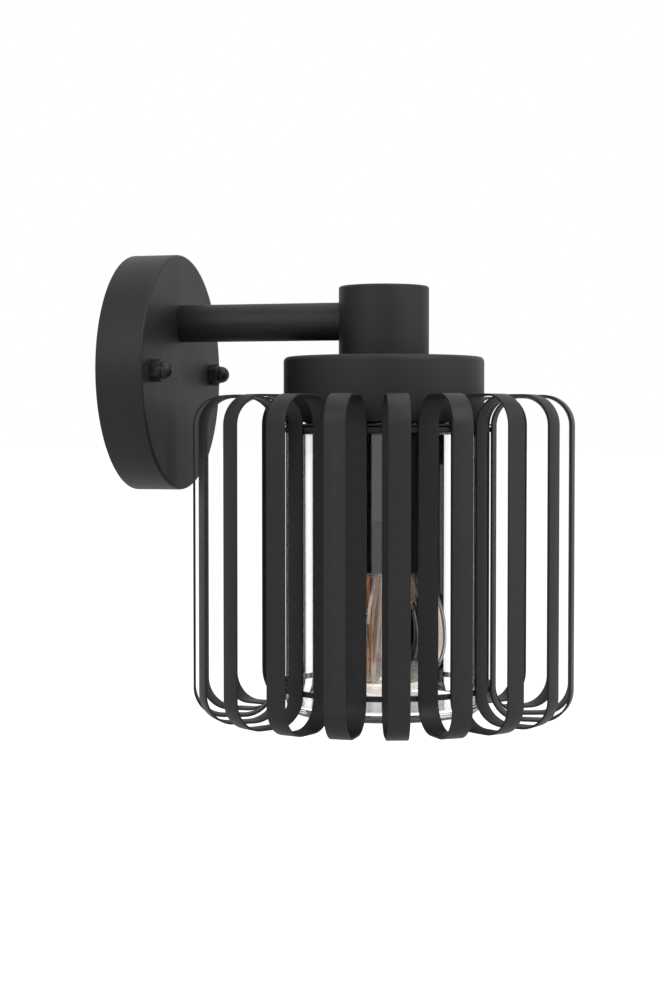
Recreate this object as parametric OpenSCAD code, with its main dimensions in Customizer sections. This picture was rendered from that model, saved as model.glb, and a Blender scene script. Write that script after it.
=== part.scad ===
// Cage wall light: a round canopy, a short tube arm, a lampholder cup and drum cap,
// and a clear glass jar inside a cage of bent flat-strip loops.
// The origin is the canopy's centre on the wall. The fixture reaches towards -Y, and +Z is up.

/* [Canopy] */
// Diameter of the round canopy
canopy_d = 120; // [112:1:140]
// Depth of the canopy from the wall to its front face
canopy_depth = 24; // [22:0.5:34]
// Sheet thickness of the canopy
canopy_wall = 1.2; // [0.8:0.1:1.6]
// Radius of the canopy's front edge
canopy_edge_r = 1.5; // [0.5:0.1:4]

/* [Wall bracket] */
// Gap between each end of the flat bar and the canopy's edge
bracket_inset = 7; // [6:0.5:9]
// Height of the flat bar
bracket_h = 20; // [16:0.5:24]
// Thickness of the flat bar
bracket_t = 2; // [1.5:0.1:3]
// Distance from the canopy's edge in to the axis of each stud that carries it
stud_inset = 15.8; // [14:0.1:17]
// Distance from each stud in to the centre of the slot for a wall screw
slot_inset = 11.7; // [10.7:0.1:13.2]
// End-to-end length of each slot
slot_len = 10; // [7:0.5:11]
// Width of each slot
slot_w = 4.5; // [4:0.1:5.5]
// Diameter of the wiring hole in the middle of the bar
wiring_hole_d = 12; // [8:0.5:14]

/* [Canopy fasteners] */
// Outer diameter of the studs
stud_d = 5.9; // [4.9:0.1:6.2]
// Width across flats of the cap nuts and of the stud lock nuts
nut_flats = 10; // [9.5:0.1:11]
// Height of the hexagon of a cap nut
cap_nut_hex_h = 4.8; // [4:0.1:6]
// Whole height of a cap nut
cap_nut_h = 10.2; // [9.7:0.1:14]
// Diameter of the dome of a cap nut
cap_nut_dome_d = 8.8; // [8:0.1:9.5]
// Depth of the blind hole in a cap nut
cap_nut_bore = 7.2; // [6:0.1:8.5]
// Thickness of the stud lock nuts
lock_nut_h = 3; // [2.4:0.1:5]
// Diameter of the earth screw's head
earth_head_d = 7; // [6:0.1:8]

/* [Arm] */
// Height of the arm above the canopy's centre
arm_rise = 25; // [24:0.5:30]
// Distance from the wall to the lamp's axis
reach = 130; // [122:1:160]
// Outer diameter of the arm tube
arm_d = 19; // [17:0.5:22]
// Wall of the arm tube
arm_wall = 1.2; // [0.8:0.1:2]
// Length of the plug in the canopy end of the tube
plug_len = 10; // [6:0.5:20]

/* [Cup] */
// Outer diameter of the cup that the arm runs into
cup_d = 45; // [40:0.5:60]
// Wall of the cup
cup_wall = 1.5; // [1:0.1:2]
// Radius of the cup's top edge
cup_edge_r = 1.2; // [0.5:0.1:4]
// Height of the cup below the arm tube
cup_under = 8.5; // [8:0.1:12]
// Height of the cup above the arm tube
cup_over = 7.6; // [4:0.1:16]

/* [Cap] */
// Outer diameter of the drum cap
cap_d = 100; // [98:0.5:120]
// Height of the drum cap
cap_h = 32.4; // [31:0.1:44]
// Sheet thickness of the drum cap
cap_wall = 1.2; // [0.8:0.1:1.6]
// Radius of the drum cap's top edge
cap_edge_r = 2.5; // [0.5:0.1:5]

/* [Cage] */
// Number of strip loops round the cage
loop_count = 20; // [12:1:20]
// Radial width of a loop, outside
loop_depth = 40; // [34:0.5:50]
// Height of a loop, outside
loop_h = 160; // [158:0.5:190]
// Outer radius of a loop's corners
loop_corner_r = 15; // [6:0.5:16]
// Width of the strip
strip_w = 10.2; // [6:0.1:11]
// Thickness of the strip
strip_t = 1; // [0.8:0.1:2]
// Radial width of the two rings that the loops are welded to
ring_w = 3; // [2:0.1:4]
// Height of the two rings
ring_h = 2.4; // [1.6:0.1:3]
// Radial gap between the glass and the rings
ring_gap = 3.2; // [1:0.1:5]
// Thickness of the plate at the top of the cage
top_plate_t = 0.8; // [0.6:0.1:1.2]
// Height of the lower ring above the loops' lowest point
low_ring_rise = 14; // [12:0.1:30]
// Distance from the bottom of the drum cap up to the tops of the loops
loop_top_rise = 13.3; // [8:0.1:17]

/* [Glass jar] */
// Radial step from the drum cap in to the glass
jar_inset = 1.3; // [0.8:0.1:2.5]
// Wall of the glass
jar_wall = 2.8; // [2:0.1:3.2]
// Height of the jar from its base to its shoulder
jar_body_h = 141.8; // [140:0.1:143]
// Thickness of the jar's floor
jar_floor = 3.6; // [2:0.1:4]
// Outer radius of the jar's bottom edge
jar_base_r = 3.5; // [1:0.1:6]
// Inner radius of the jar's bottom edge
jar_inner_base_r = 1.5; // [1:0.1:2.2]
// Outer radius of the jar's shoulder
jar_shoulder_r = 3; // [1:0.1:4]
// Inner radius of the jar's shoulder
jar_inner_shoulder_r = 1; // [0.5:0.1:3]
// Height of the screw neck above the shoulder
neck_h = 20; // [12:0.5:24]
// Thickness of the rubber seal on the shoulder
seal_t = 0.8; // [0.6:0.1:2]

/* [Lampholder] */
// Gap between the lamp's tip and the jar's floor
lamp_tip_gap = 3.1; // [2:0.1:8]
// Length of the sleeve below the lamp's centre contact
sleeve_drop = 43.5; // [36:0.1:45.5]
// Sheet thickness of the sleeve
sleeve_wall = 1.2; // [0.8:0.1:2]
// Outer diameter of the lampholder body
socket_d = 38; // [34:0.5:40]
// Outer diameter of the threaded nipples
nipple_d = 9.9; // [9:0.1:10.5]
// Bore of the threaded nipples
nipple_bore = 7; // [6.5:0.1:7.5]
// Diameter of the insulated lead wires
lead_d = 2; // [1.6:0.1:2.2]

/* [Lamp] */
// Largest diameter of the lamp's glass
lamp_d = 63; // [58:0.5:65]
// Length of the lamp from its tip to its contact
lamp_len = 107; // [104:0.5:108]
// Height of the largest diameter above the tip
lamp_belly_h = 29.5; // [26:0.5:34]
// Thickness of the lamp's glass
lamp_wall = 0.8; // [0.6:0.1:1.2]
// Outer diameter of the screw base
base_d = 26.3; // [26:0.1:26.5]

/* [Hidden] */
$fn = 64;
overrun = 1;
// Clearances: between fixed pieces, between moving pieces, and round a screw in a plain hole
fit_gap = 0.05;
turn_gap = 0.08;
hole_gap = 0.4;
weld_gap = 0.1;

// Canopy side
canopy_r = canopy_d / 2;
bracket_len = canopy_d - 2 * bracket_inset;
stud_x = canopy_r - stud_inset;
slot_x = stud_x - slot_inset;
stud_r = stud_d / 2;
nipple_r = nipple_d / 2;
nut_r = nut_flats / 2 / cos(30);
// Jam nuts and washers on the threaded nipples
jam_flats = 14;
jam_h = 4;
washer_r = 10;
washer_t = 1.5;
jam_r = jam_flats / 2 / cos(30);
nipple_over = 1.5;
canopy_inside_y = -(canopy_depth - canopy_wall);
arm_nut_y = canopy_inside_y + washer_t;
arm_nipple_end_y = arm_nut_y + jam_h + nipple_over;

// Heights on the lamp's axis
arm_r = arm_d / 2;
cup_r = cup_d / 2;
cup_h = cup_under + arm_d + cup_over;
cap_r = cap_d / 2;
cap_top_z = arm_rise - arm_r - cup_under;
cap_ceiling_z = cap_top_z - cap_wall;
cap_bottom_z = cap_top_z - cap_h;
// Slit between the drum cap and the cage's top plate
cap_slit = 0.9;
top_plate_z = cap_bottom_z - cap_slit - top_plate_t;
seal_z = top_plate_z - seal_t;
top_ring_z = seal_z - ring_h;
loop_top_z = cap_bottom_z + loop_top_rise;
loop_bottom_z = loop_top_z - loop_h;
low_ring_z = loop_bottom_z + low_ring_rise;
jar_bottom_z = seal_z - jar_body_h;

// Radii round the lamp's axis
jar_r = cap_r - jar_inset;
ring_in_r = jar_r + ring_gap;
ring_out_r = ring_in_r + ring_w;
loop_in_r = ring_out_r + weld_gap;
lamp_r = lamp_d / 2;
pass_gap = 5.2;
neck_in_r = lamp_r + pass_gap;
neck_r = neck_in_r + jar_wall;
fitter_wall = 3;
fitter_in_r = neck_r + turn_gap;
fitter_r = fitter_in_r + fitter_wall;
fitter_top_t = 1.5;
fitter_rise = 2.8;
fitter_bottom_z = cap_bottom_z + fitter_rise;
fitter_ceiling_z = cap_ceiling_z - fitter_top_t;
plate_in_r = fitter_r + fit_gap;
seal_margin = 1.7;
seal_in_r = neck_r + hole_gap;

// Tabs that hold the cage's top plate to the fitter, and their screws
tab_count = 3;
tab_w = 10;
tab_rise = 12;
tab_screw_rise = 7.5;
tab_screw_d = 2.9;
tab_head_d = 5.6;
tab_head_h = 1.8;
tab_outer_r = plate_in_r + top_plate_t;

// Lampholder
bridge_t = 3;
bridge_lift = 3;
bridge_z = cap_top_z + bridge_lift;
nipple_top_z = bridge_z + bridge_t + nipple_over;
sleeve_top_z = fitter_ceiling_z;
stack_nut_z = sleeve_top_z - sleeve_wall - washer_t - jam_h;
contact_z = jar_bottom_z + jar_floor + lamp_tip_gap + lamp_len;
sleeve_bottom_z = contact_z - sleeve_drop;
sleeve_len = sleeve_top_z - sleeve_bottom_z;
contact_gap = 0.2;
contact_t = 0.8;
contact_r = 4;
contact_tongue_w = 3;
socket_r = socket_d / 2;
socket_top_t = 5;
socket_len = 34;
socket_hole_z = contact_z + contact_gap + contact_t;
socket_top_z = socket_hole_z + socket_top_t;
socket_bottom_z = socket_top_z - socket_len;
socket_cap_h = 12;
socket_cap_wall = 1.5;
socket_hub_h = 5;
socket_cap_top_z = socket_top_z + socket_cap_h;
lamp_nipple_end_z = socket_cap_top_z - socket_hub_h;
shell_t = 0.6;
shell_in_r = base_d / 2 + turn_gap;
shell_r = shell_in_r + shell_t;
shell_inset = 2;
terminal_head_r = 3;
terminal_head_h = 3;
terminal_r = 1.5;
terminal_x = 12.2;
terminal_slot = 1;
shell_top_z = socket_hole_z - shell_inset;
shell_tab_w = 6;

// Lamp
tip_z = contact_z - lamp_len;
belly_z = tip_z + lamp_belly_h;
base_r = base_d / 2;
base_shell_h = 24;
base_insulator_h = 3;
base_contact_h = 1;
base_top_z = contact_z - base_contact_h - base_insulator_h;
base_bottom_z = base_top_z - base_shell_h;
lamp_neck_r = base_r - lamp_wall;
lamp_tuck = 4;
lamp_glass_top_z = base_bottom_z + lamp_tuck;
lamp_steps = 20;
// How the glass draws in from its largest diameter up to the neck
belly_power_share = 2.3;
neck_power_share = 1.5;

// Lead wires
lead_r = lead_d / 2;
lead_x = 1.3;
lead_bend_r = 4;
cup_bend_r = 6;
terminal_bend_r = 2.5;
connector_y = -9;
connector_x = 14;
connector_len = 20;
connector_mouth_r = 4.5;
connector_end_r = 3.6;
connector_hole = 12;
lead_end_x = connector_x + connector_hole - overrun;
terminal_lead_z = socket_top_z + terminal_head_h / 2;

// Earth screw, wire and connector on the bracket
earth_inset = 12.5;
earth_x = -(slot_x - earth_inset);
earth_screw_d = 3.9;
earth_head_h = 2.2;
earth_wire_r = 0.8;
earth_bend_r = 1.8;
earth_eye_r = 2.9;
earth_slot = 1;
earth_y = -bracket_t - earth_wire_r - fit_gap;
earth_connector_y = earth_y - 2 * earth_bend_r - fit_gap;
earth_connector_under = 4;
earth_connector_drop = bracket_h / 2 + earth_connector_under;
earth_head_y = earth_y - earth_wire_r - fit_gap;

function loop_name(i) = str("cage_loop_", i < 10 ? "0" : "", i);

// Shared shapes

// Moves its children onto the lamp's axis
module at_lamp() {
    translate([0, -reach, 0]) children();
}

// Turns its children so that their +Z points away from the wall, with the base at the given y
module facing_out(y) {
    translate([0, y, 0]) rotate([90, 0, 0]) children();
}

// A ring, or a disc where the inner radius is zero
module ring(r_out, r_in, h) {
    difference() {
        cylinder(r = r_out, h = h);
        if (r_in > 0)
            translate([0, 0, -overrun]) cylinder(r = r_in, h = h + 2 * overrun);
    }
}

// Half outline of a round body that stands on zero, with a rounded top edge
module drum_outline(r, h, edge) {
    square([r, h - edge]);
    square([r - edge, h]);
    translate([r - edge, h - edge]) circle(r = edge);
}

// A round shell that is closed at the top, open below, and has a rounded top edge
module drum(r, h, wall, edge) {
    inner_edge = max(edge - wall, fit_gap);
    rotate_extrude() difference() {
        drum_outline(r, h, edge);
        translate([0, -overrun]) drum_outline(r - wall, h - wall + overrun, inner_edge);
    }
}

// A rectangle with four rounded corners, centred on the origin
module rounded_rectangle(w, h, r) {
    square([w - 2 * r, h], center = true);
    square([w, h - 2 * r], center = true);
    for (x = [-1, 1], y = [-1, 1])
        translate([x * (w / 2 - r), y * (h / 2 - r)]) circle(r = r);
}

// A slot that runs along X, cut along Z
module slot(len, w, h) {
    linear_extrude(h) {
        square([len - w, w], center = true);
        for (x = [-1, 1])
            translate([x * (len - w) / 2, 0]) circle(d = w);
    }
}

// A hexagon nut with a round hole
module hex_nut(r, bore_r, h) {
    difference() {
        cylinder(r = r, h = h, $fn = 6);
        translate([0, 0, -overrun]) cylinder(r = bore_r, h = h + 2 * overrun);
    }
}

// A straight length of round wire between two points of an axis-aligned route
module wire_run(from, to, r) {
    span = to - from;
    len = norm(span);
    dir = span / len;
    across = [dir[1], dir[2], dir[0]];
    up = cross(dir, across);
    multmatrix([[across[0], up[0], dir[0], from[0]],
                [across[1], up[1], dir[1], from[1]],
                [across[2], up[2], dir[2], from[2]]])
        cylinder(r = r, h = len, $fn = 24);
}

// A right-angled bend at a corner of the route
module wire_bend(before, corner, after, r, bend_r) {
    a = (corner - before) / norm(corner - before);
    b = (after - corner) / norm(after - corner);
    middle = corner - bend_r * a + bend_r * b;
    n = cross(-b, a);
    multmatrix([[-b[0], a[0], n[0], middle[0]],
                [-b[1], a[1], n[1], middle[1]],
                [-b[2], a[2], n[2], middle[2]]])
        rotate_extrude(angle = 90) translate([bend_r, 0]) circle(r = r, $fn = 24);
}

// A wire along a route whose corners are right angles, each with its own bend radius
module wire(route, bends, r) {
    last = len(route) - 1;
    for (i = [0:last - 1]) {
        a = route[i];
        b = route[i + 1];
        dir = (b - a) / norm(b - a);
        wire_run(a + dir * (i == 0 ? 0 : bends[i - 1]), b - dir * (i == last - 1 ? 0 : bends[i]), r);
    }
    for (i = [1:last - 1])
        wire_bend(route[i - 1], route[i], route[i + 1], r, bends[i - 1]);
}

// Canopy and wall bracket

module canopy_cover() {
    color("#2b2b2b") difference() {
        facing_out(0) drum(canopy_r, canopy_depth, canopy_wall, canopy_edge_r);
        for (x = [-stud_x, stud_x])
            translate([x, 0, 0]) facing_out(overrun)
                cylinder(r = stud_r + hole_gap, h = canopy_depth + 2 * overrun);
        translate([0, 0, arm_rise]) facing_out(overrun)
            cylinder(r = nipple_r + hole_gap, h = canopy_depth + 2 * overrun);
    }
}

module mounting_bracket() {
    corner_r = bracket_h / 4;
    color("#b8bcc0") facing_out(0) difference() {
        linear_extrude(bracket_t) rounded_rectangle(bracket_len, bracket_h, corner_r);
        translate([0, 0, -overrun]) {
            cylinder(d = wiring_hole_d, h = bracket_t + 2 * overrun);
            for (side = [-1, 1]) {
                translate([side * slot_x, 0, 0]) slot(slot_len, slot_w, bracket_t + 2 * overrun);
                translate([side * stud_x, 0, 0]) cylinder(r = stud_r + fit_gap, h = bracket_t + 2 * overrun);
            }
            translate([earth_x, 0, 0]) cylinder(d = earth_screw_d + 2 * fit_gap, h = bracket_t + 2 * overrun);
        }
    }
}

module canopy_studs() {
    stud_len = canopy_depth + cap_nut_bore - fit_gap - hole_gap;
    color("#9a9c9e") for (x = [-stud_x, stud_x])
        translate([x, 0, 0]) facing_out(0) cylinder(r = stud_r, h = stud_len);
}

module stud_lock_nuts() {
    color("#9a9c9e") for (x = [-stud_x, stud_x])
        translate([x, 0, 0]) facing_out(-bracket_t) hex_nut(nut_r, stud_r + fit_gap, lock_nut_h);
}

// A dome nut that stands on zero
module cap_nut() {
    dome_r = cap_nut_dome_d / 2;
    flat_r = nut_flats / 2;
    chamfer = (nut_r - flat_r) / 2;
    difference() {
        union() {
            intersection() {
                cylinder(r = nut_r, h = cap_nut_hex_h, $fn = 6);
                rotate_extrude() polygon([[0, 0], [flat_r, 0], [nut_r, chamfer],
                    [nut_r, cap_nut_hex_h - chamfer], [flat_r, cap_nut_hex_h], [0, cap_nut_hex_h]]);
            }
            cylinder(r = dome_r, h = cap_nut_h - dome_r);
            translate([0, 0, cap_nut_h - dome_r]) intersection() {
                sphere(r = dome_r);
                cylinder(r = nut_r, h = dome_r);
            }
        }
        translate([0, 0, -overrun]) cylinder(r = stud_r + turn_gap, h = cap_nut_bore + overrun);
    }
}

module left_cap_nut() {
    color("#262626") translate([-stud_x, 0, 0]) facing_out(-canopy_depth) rotate([0, 0, 30]) cap_nut();
}

module right_cap_nut() {
    color("#262626") translate([stud_x, 0, 0]) facing_out(-canopy_depth) rotate([0, 0, 30]) cap_nut();
}

// Earth screw with its head off the bracket by the thickness of the wire's eye
module earth_screw() {
    head_rise = -earth_head_y;
    color("#3f7d3f") translate([earth_x, 0, 0]) facing_out(0) {
        cylinder(d = earth_screw_d, h = head_rise + earth_head_h / 2);
        translate([0, 0, head_rise]) difference() {
            cylinder(d = earth_head_d, h = earth_head_h);
            translate([-earth_head_d, -earth_slot / 2, earth_head_h / 2])
                cube([2 * earth_head_d, earth_slot, earth_head_h]);
        }
    }
}

module earth_wire() {
    top = [earth_x - earth_eye_r, earth_y, 0];
    low_z = -(earth_connector_drop - 2 * earth_bend_r);
    end_z = -(earth_connector_drop + connector_hole - overrun);
    route = [top, [top[0], earth_y, low_z], [top[0], earth_connector_y, low_z], [top[0], earth_connector_y, end_z]];
    color("#b87333") {
        // The eye is half a turn round the screw
        translate([earth_x, earth_y, 0]) rotate([90, 0, 0])
            rotate_extrude(angle = 180) translate([earth_eye_r, 0]) circle(r = earth_wire_r, $fn = 24);
        wire(route, [earth_bend_r, earth_bend_r], earth_wire_r);
    }
}

// Wire route from a connector in the canopy, along the arm and down to a terminal
module lead(side) {
    x = side * lead_x;
    wire([[side * lead_end_x, connector_y, arm_rise],
          [x, connector_y, arm_rise],
          [x, -reach, arm_rise],
          [x, -reach, terminal_lead_z],
          [side * (terminal_x - terminal_head_r - fit_gap), -reach, terminal_lead_z]],
         [lead_bend_r, cup_bend_r, terminal_bend_r], lead_r);
}

module live_wire() {
    color("#1c1c1c") lead(1);
}

module neutral_wire() {
    color("#e8e8e4") lead(-1);
}

// A twist-on wire connector whose mouth is at zero and whose end points along +Z
module connector(bore_r) {
    rotate_extrude() polygon([[bore_r, 0], [connector_mouth_r, 0], [connector_end_r, connector_len],
        [0, connector_len], [0, connector_hole], [bore_r, connector_hole]]);
}

module wire_connectors() {
    color("#c8702a") {
        for (side = [-1, 1])
            translate([side * connector_x, connector_y, arm_rise]) rotate([0, side * 90, 0])
                connector(lead_r + fit_gap);
        translate([earth_x - earth_eye_r, earth_connector_y, -earth_connector_drop]) rotate([180, 0, 0])
            connector(earth_wire_r + fit_gap);
    }
}

// Arm

module arm_tube() {
    inside = sqrt(pow(cup_r - cup_wall, 2) - pow(arm_r, 2));
    tube_len = reach - canopy_depth - inside + arm_wall;
    color("#2b2b2b") translate([0, 0, arm_rise]) facing_out(-canopy_depth) ring(arm_r, arm_r - arm_wall, tube_len);
}

module arm_plug() {
    color("#8c8f92") translate([0, 0, arm_rise]) facing_out(-canopy_depth)
        ring(arm_r - arm_wall - fit_gap, nipple_r + fit_gap, plug_len);
}

module arm_nipple() {
    color("#a5a7a9") translate([0, 0, arm_rise]) facing_out(arm_nipple_end_y)
        ring(nipple_r, nipple_bore / 2, canopy_depth + arm_nipple_end_y + plug_len);
}

module nipple_washers() {
    color("#b8bcc0") {
        translate([0, 0, arm_rise]) facing_out(arm_nut_y) ring(washer_r, nipple_r + fit_gap, washer_t);
        at_lamp() translate([0, 0, sleeve_top_z - sleeve_wall - washer_t])
            ring(washer_r, nipple_r + fit_gap, washer_t);
    }
}

module nipple_nuts() {
    color("#b8bcc0") {
        translate([0, 0, arm_rise]) facing_out(arm_nut_y + jam_h) hex_nut(jam_r, nipple_r + fit_gap, jam_h);
        at_lamp() translate([0, 0, stack_nut_z]) hex_nut(jam_r, nipple_r + fit_gap, jam_h);
    }
}

// Cup, cap and fitter

module socket_cup() {
    color("#2b2b2b") difference() {
        at_lamp() translate([0, 0, cap_top_z]) drum(cup_r, cup_h, cup_wall, cup_edge_r);
        translate([0, 0, arm_rise]) facing_out(-canopy_depth) cylinder(r = arm_r + fit_gap, h = reach - canopy_depth);
    }
}

module cup_bridge() {
    color("#8c8f92") at_lamp() translate([0, 0, bridge_z])
        ring(cup_r - cup_wall - fit_gap, nipple_r + fit_gap, bridge_t);
}

module lamp_nipple() {
    color("#a5a7a9") at_lamp() translate([0, 0, lamp_nipple_end_z])
        ring(nipple_r, nipple_bore / 2, nipple_top_z - lamp_nipple_end_z);
}

module drum_cap() {
    color("#2b2b2b") at_lamp() difference() {
        translate([0, 0, cap_bottom_z]) drum(cap_r, cap_h, cap_wall, cap_edge_r);
        translate([0, 0, cap_bottom_z]) cylinder(r = nipple_r + hole_gap, h = cap_h + overrun);
    }
}

// Places its children at each tab's angle, a third of a turn apart
module each_tab() {
    for (i = [0:tab_count - 1])
        rotate([0, 0, -90 + i * 360 / tab_count]) children();
}

module jar_fitter() {
    screw_z = top_plate_z + top_plate_t + tab_screw_rise;
    color("#c3c6c8") at_lamp() difference() {
        translate([0, 0, fitter_bottom_z]) ring(fitter_r, 0, cap_ceiling_z - fitter_bottom_z);
        translate([0, 0, fitter_bottom_z - overrun])
            cylinder(r = fitter_in_r, h = fitter_ceiling_z - fitter_bottom_z + overrun);
        translate([0, 0, fitter_bottom_z]) cylinder(r = nipple_r + hole_gap, h = cap_h + overrun);
        each_tab() translate([neck_r, 0, screw_z]) rotate([0, 90, 0])
            cylinder(d = tab_screw_d + 2 * fit_gap, h = fitter_wall + turn_gap + overrun);
    }
}

module holder_sleeve() {
    color("#1e1e1e") at_lamp() difference() {
        translate([0, 0, sleeve_bottom_z]) cylinder(r = sleeve_r, h = sleeve_len);
        translate([0, 0, sleeve_bottom_z - overrun])
            cylinder(r = sleeve_r - sleeve_wall, h = sleeve_len - sleeve_wall + overrun);
        translate([0, 0, sleeve_bottom_z]) cylinder(r = nipple_r + hole_gap, h = sleeve_len + overrun);
    }
}

// Lampholder

module socket_cap() {
    color("#303030") at_lamp() difference() {
        translate([0, 0, socket_top_z]) cylinder(r = socket_r, h = socket_cap_h);
        translate([0, 0, socket_top_z - overrun])
            cylinder(r = socket_r - socket_cap_wall, h = socket_cap_h - socket_hub_h + overrun);
        translate([0, 0, socket_top_z]) cylinder(r = nipple_r + fit_gap, h = socket_cap_h + overrun);
    }
}

module socket_body() {
    color("#303030") at_lamp() difference() {
        translate([0, 0, socket_bottom_z]) cylinder(r = socket_r, h = socket_len);
        translate([0, 0, socket_bottom_z - overrun])
            cylinder(r = shell_r + fit_gap, h = socket_len - socket_top_t + overrun);
        for (x = [-terminal_x, terminal_x])
            translate([x, 0, socket_hole_z - overrun])
                cylinder(r = terminal_r + fit_gap, h = socket_top_t + 2 * overrun);
    }
}

// The shell has a tab that turns in under the neutral terminal
module screw_shell() {
    low_z = socket_bottom_z + shell_inset;
    color("#c9a24a") at_lamp() {
        translate([0, 0, low_z]) ring(shell_r, shell_in_r, shell_top_z - low_z);
        intersection() {
            translate([-shell_r, -shell_tab_w / 2, low_z]) cube([shell_t, shell_tab_w, socket_hole_z - low_z]);
            translate([0, 0, low_z]) cylinder(r = shell_r, h = socket_hole_z - low_z);
        }
        translate([-shell_r + shell_t / 2, -shell_tab_w / 4, socket_hole_z - shell_t])
            cube([shell_r - shell_t / 2 - terminal_x + terminal_r, shell_tab_w / 2, shell_t]);
    }
}

// A round contact with a tongue that reaches the live terminal
module centre_contact() {
    color("#c9a24a") at_lamp() translate([0, 0, socket_hole_z - contact_t]) {
        cylinder(r = contact_r, h = contact_t);
        translate([0, -contact_tongue_w / 2, 0]) cube([terminal_x, contact_tongue_w, contact_t]);
    }
}

module terminal_screws() {
    color("#c9a24a") at_lamp() for (x = [-terminal_x, terminal_x])
        translate([x, 0, socket_hole_z + fit_gap]) {
            cylinder(r = terminal_r, h = socket_top_t);
            translate([0, 0, socket_top_t - fit_gap]) difference() {
                cylinder(r = terminal_head_r, h = terminal_head_h);
                translate([-terminal_head_r * 2, -terminal_slot / 2, terminal_head_h / 2])
                    cube([terminal_head_r * 4, terminal_slot, terminal_head_h]);
            }
        }
}

// Cage

// The plate is a flat ring with three tabs turned up inside it
module cage_top_plate() {
    rise = top_plate_t + tab_rise;
    color("#2b2b2b") at_lamp() translate([0, 0, top_plate_z]) {
        ring(ring_out_r, plate_in_r, top_plate_t);
        each_tab() difference() {
            translate([plate_in_r, -tab_w / 2, 0]) cube([top_plate_t, tab_w, rise]);
            translate([plate_in_r - overrun, 0, top_plate_t + tab_screw_rise]) rotate([0, 90, 0])
                cylinder(d = tab_screw_d + 2 * fit_gap, h = top_plate_t + 2 * overrun);
        }
    }
}

module cage_tab_screws() {
    color("#9a9c9e") at_lamp() each_tab()
        translate([0, 0, top_plate_z + top_plate_t + tab_screw_rise]) rotate([0, 90, 0]) {
            translate([0, 0, fitter_in_r + hole_gap]) cylinder(d = tab_screw_d, h = tab_outer_r - fitter_in_r);
            translate([0, 0, tab_outer_r + fit_gap]) cylinder(d = tab_head_d, h = tab_head_h);
        }
}

module cage_top_ring() {
    color("#2b2b2b") at_lamp() translate([0, 0, top_ring_z]) ring(ring_out_r, ring_in_r, ring_h);
}

module cage_bottom_ring() {
    color("#2b2b2b") at_lamp() translate([0, 0, low_ring_z]) ring(ring_out_r, ring_in_r, ring_h);
}

// One strip bent to a tall rounded rectangle, in the radial plane of its own angle
module cage_loop(i) {
    angle = (i - 1) * 360 / loop_count;
    color("#2b2b2b") at_lamp() rotate([0, 0, angle - 90])
        translate([loop_in_r + loop_depth / 2, 0, loop_bottom_z + loop_h / 2]) rotate([90, 0, 0])
            linear_extrude(strip_w, center = true) difference() {
                rounded_rectangle(loop_depth, loop_h, loop_corner_r);
                rounded_rectangle(loop_depth - 2 * strip_t, loop_h - 2 * strip_t, loop_corner_r - strip_t);
            }
}

// Glass jar and its seal

module jar_seal() {
    color("#151515") at_lamp() translate([0, 0, seal_z]) ring(jar_r - seal_margin, seal_in_r, seal_t);
}

// Half outline of a round can that stands on zero, with its bottom and top edges rounded
module can_outline(r, h, low, high) {
    translate([0, low]) square([r, h - low - high]);
    translate([0, low]) square([r - high, h - low]);
    square([r - low, h - high]);
    translate([r - low, low]) circle(r = low);
    translate([r - high, h - high]) circle(r = high);
}

module glass_jar() {
    color("#cfe3e6", 0.35) at_lamp() translate([0, 0, jar_bottom_z]) rotate_extrude() difference() {
        union() {
            can_outline(jar_r, jar_body_h, jar_base_r, jar_shoulder_r);
            square([neck_r, jar_body_h + neck_h]);
        }
        translate([0, jar_floor])
            can_outline(jar_r - jar_wall, jar_body_h - jar_floor - jar_wall, jar_inner_base_r, jar_inner_shoulder_r);
        translate([0, jar_body_h / 2]) square([neck_in_r, jar_body_h + neck_h]);
    }
}

// Lamp

// Outer radius of the lamp's glass at a height, from the belly up to the neck
function upper_r(s) = lamp_neck_r + (lamp_r - lamp_neck_r) * pow(1 - pow(s, belly_power_share), neck_power_share);
function lamp_glass_r(z) = z < belly_z
    ? lamp_r * sqrt(max(0, 1 - pow((belly_z - z) / lamp_belly_h, 2)))
    : upper_r(min(1, (z - belly_z) / (base_bottom_z - belly_z)));

// The sleeve clears the widest part of the lamp's glass that it covers
lamp_clearance = 1.2;
sleeve_r = max(lamp_glass_r(sleeve_bottom_z) + lamp_clearance, socket_r + hole_gap) + sleeve_wall;

// Outline points from the tip up to the neck, drawn in by an inset
function lamp_points(inset) = concat(
    [for (i = [0:lamp_steps]) let(a = 90 * i / lamp_steps)
        [(lamp_r - inset) * sin(a), belly_z - (lamp_belly_h - inset) * cos(a)]],
    [for (i = [1:lamp_steps]) let(s = i / lamp_steps)
        [upper_r(s) - inset, belly_z + s * (base_bottom_z - belly_z)]],
    [[lamp_neck_r - inset, lamp_glass_top_z]]);

module lamp_glass() {
    inner = lamp_points(lamp_wall);
    color("#c98a3a", 0.4) at_lamp() rotate_extrude()
        polygon(concat(lamp_points(0), [for (i = [len(inner) - 1:-1:0]) inner[i]]));
}

module lamp_base() {
    color("#c9a24a") at_lamp() translate([0, 0, base_bottom_z]) difference() {
        cylinder(r = base_r, h = base_shell_h);
        translate([0, 0, -overrun]) cylinder(r = lamp_neck_r + fit_gap, h = base_shell_h + 2 * overrun);
    }
}

module lamp_insulator() {
    color("#202024") at_lamp() translate([0, 0, base_top_z]) difference() {
        cylinder(r1 = base_r, r2 = base_r / 2, h = base_insulator_h);
        translate([0, 0, -overrun]) cylinder(r = base_contact_h, h = base_insulator_h + 2 * overrun);
    }
}

module lamp_contact() {
    color("#b9bcbe") at_lamp() translate([0, 0, base_top_z + base_insulator_h])
        cylinder(r1 = base_r / 3, r2 = base_r / 4, h = base_contact_h);
}

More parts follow.
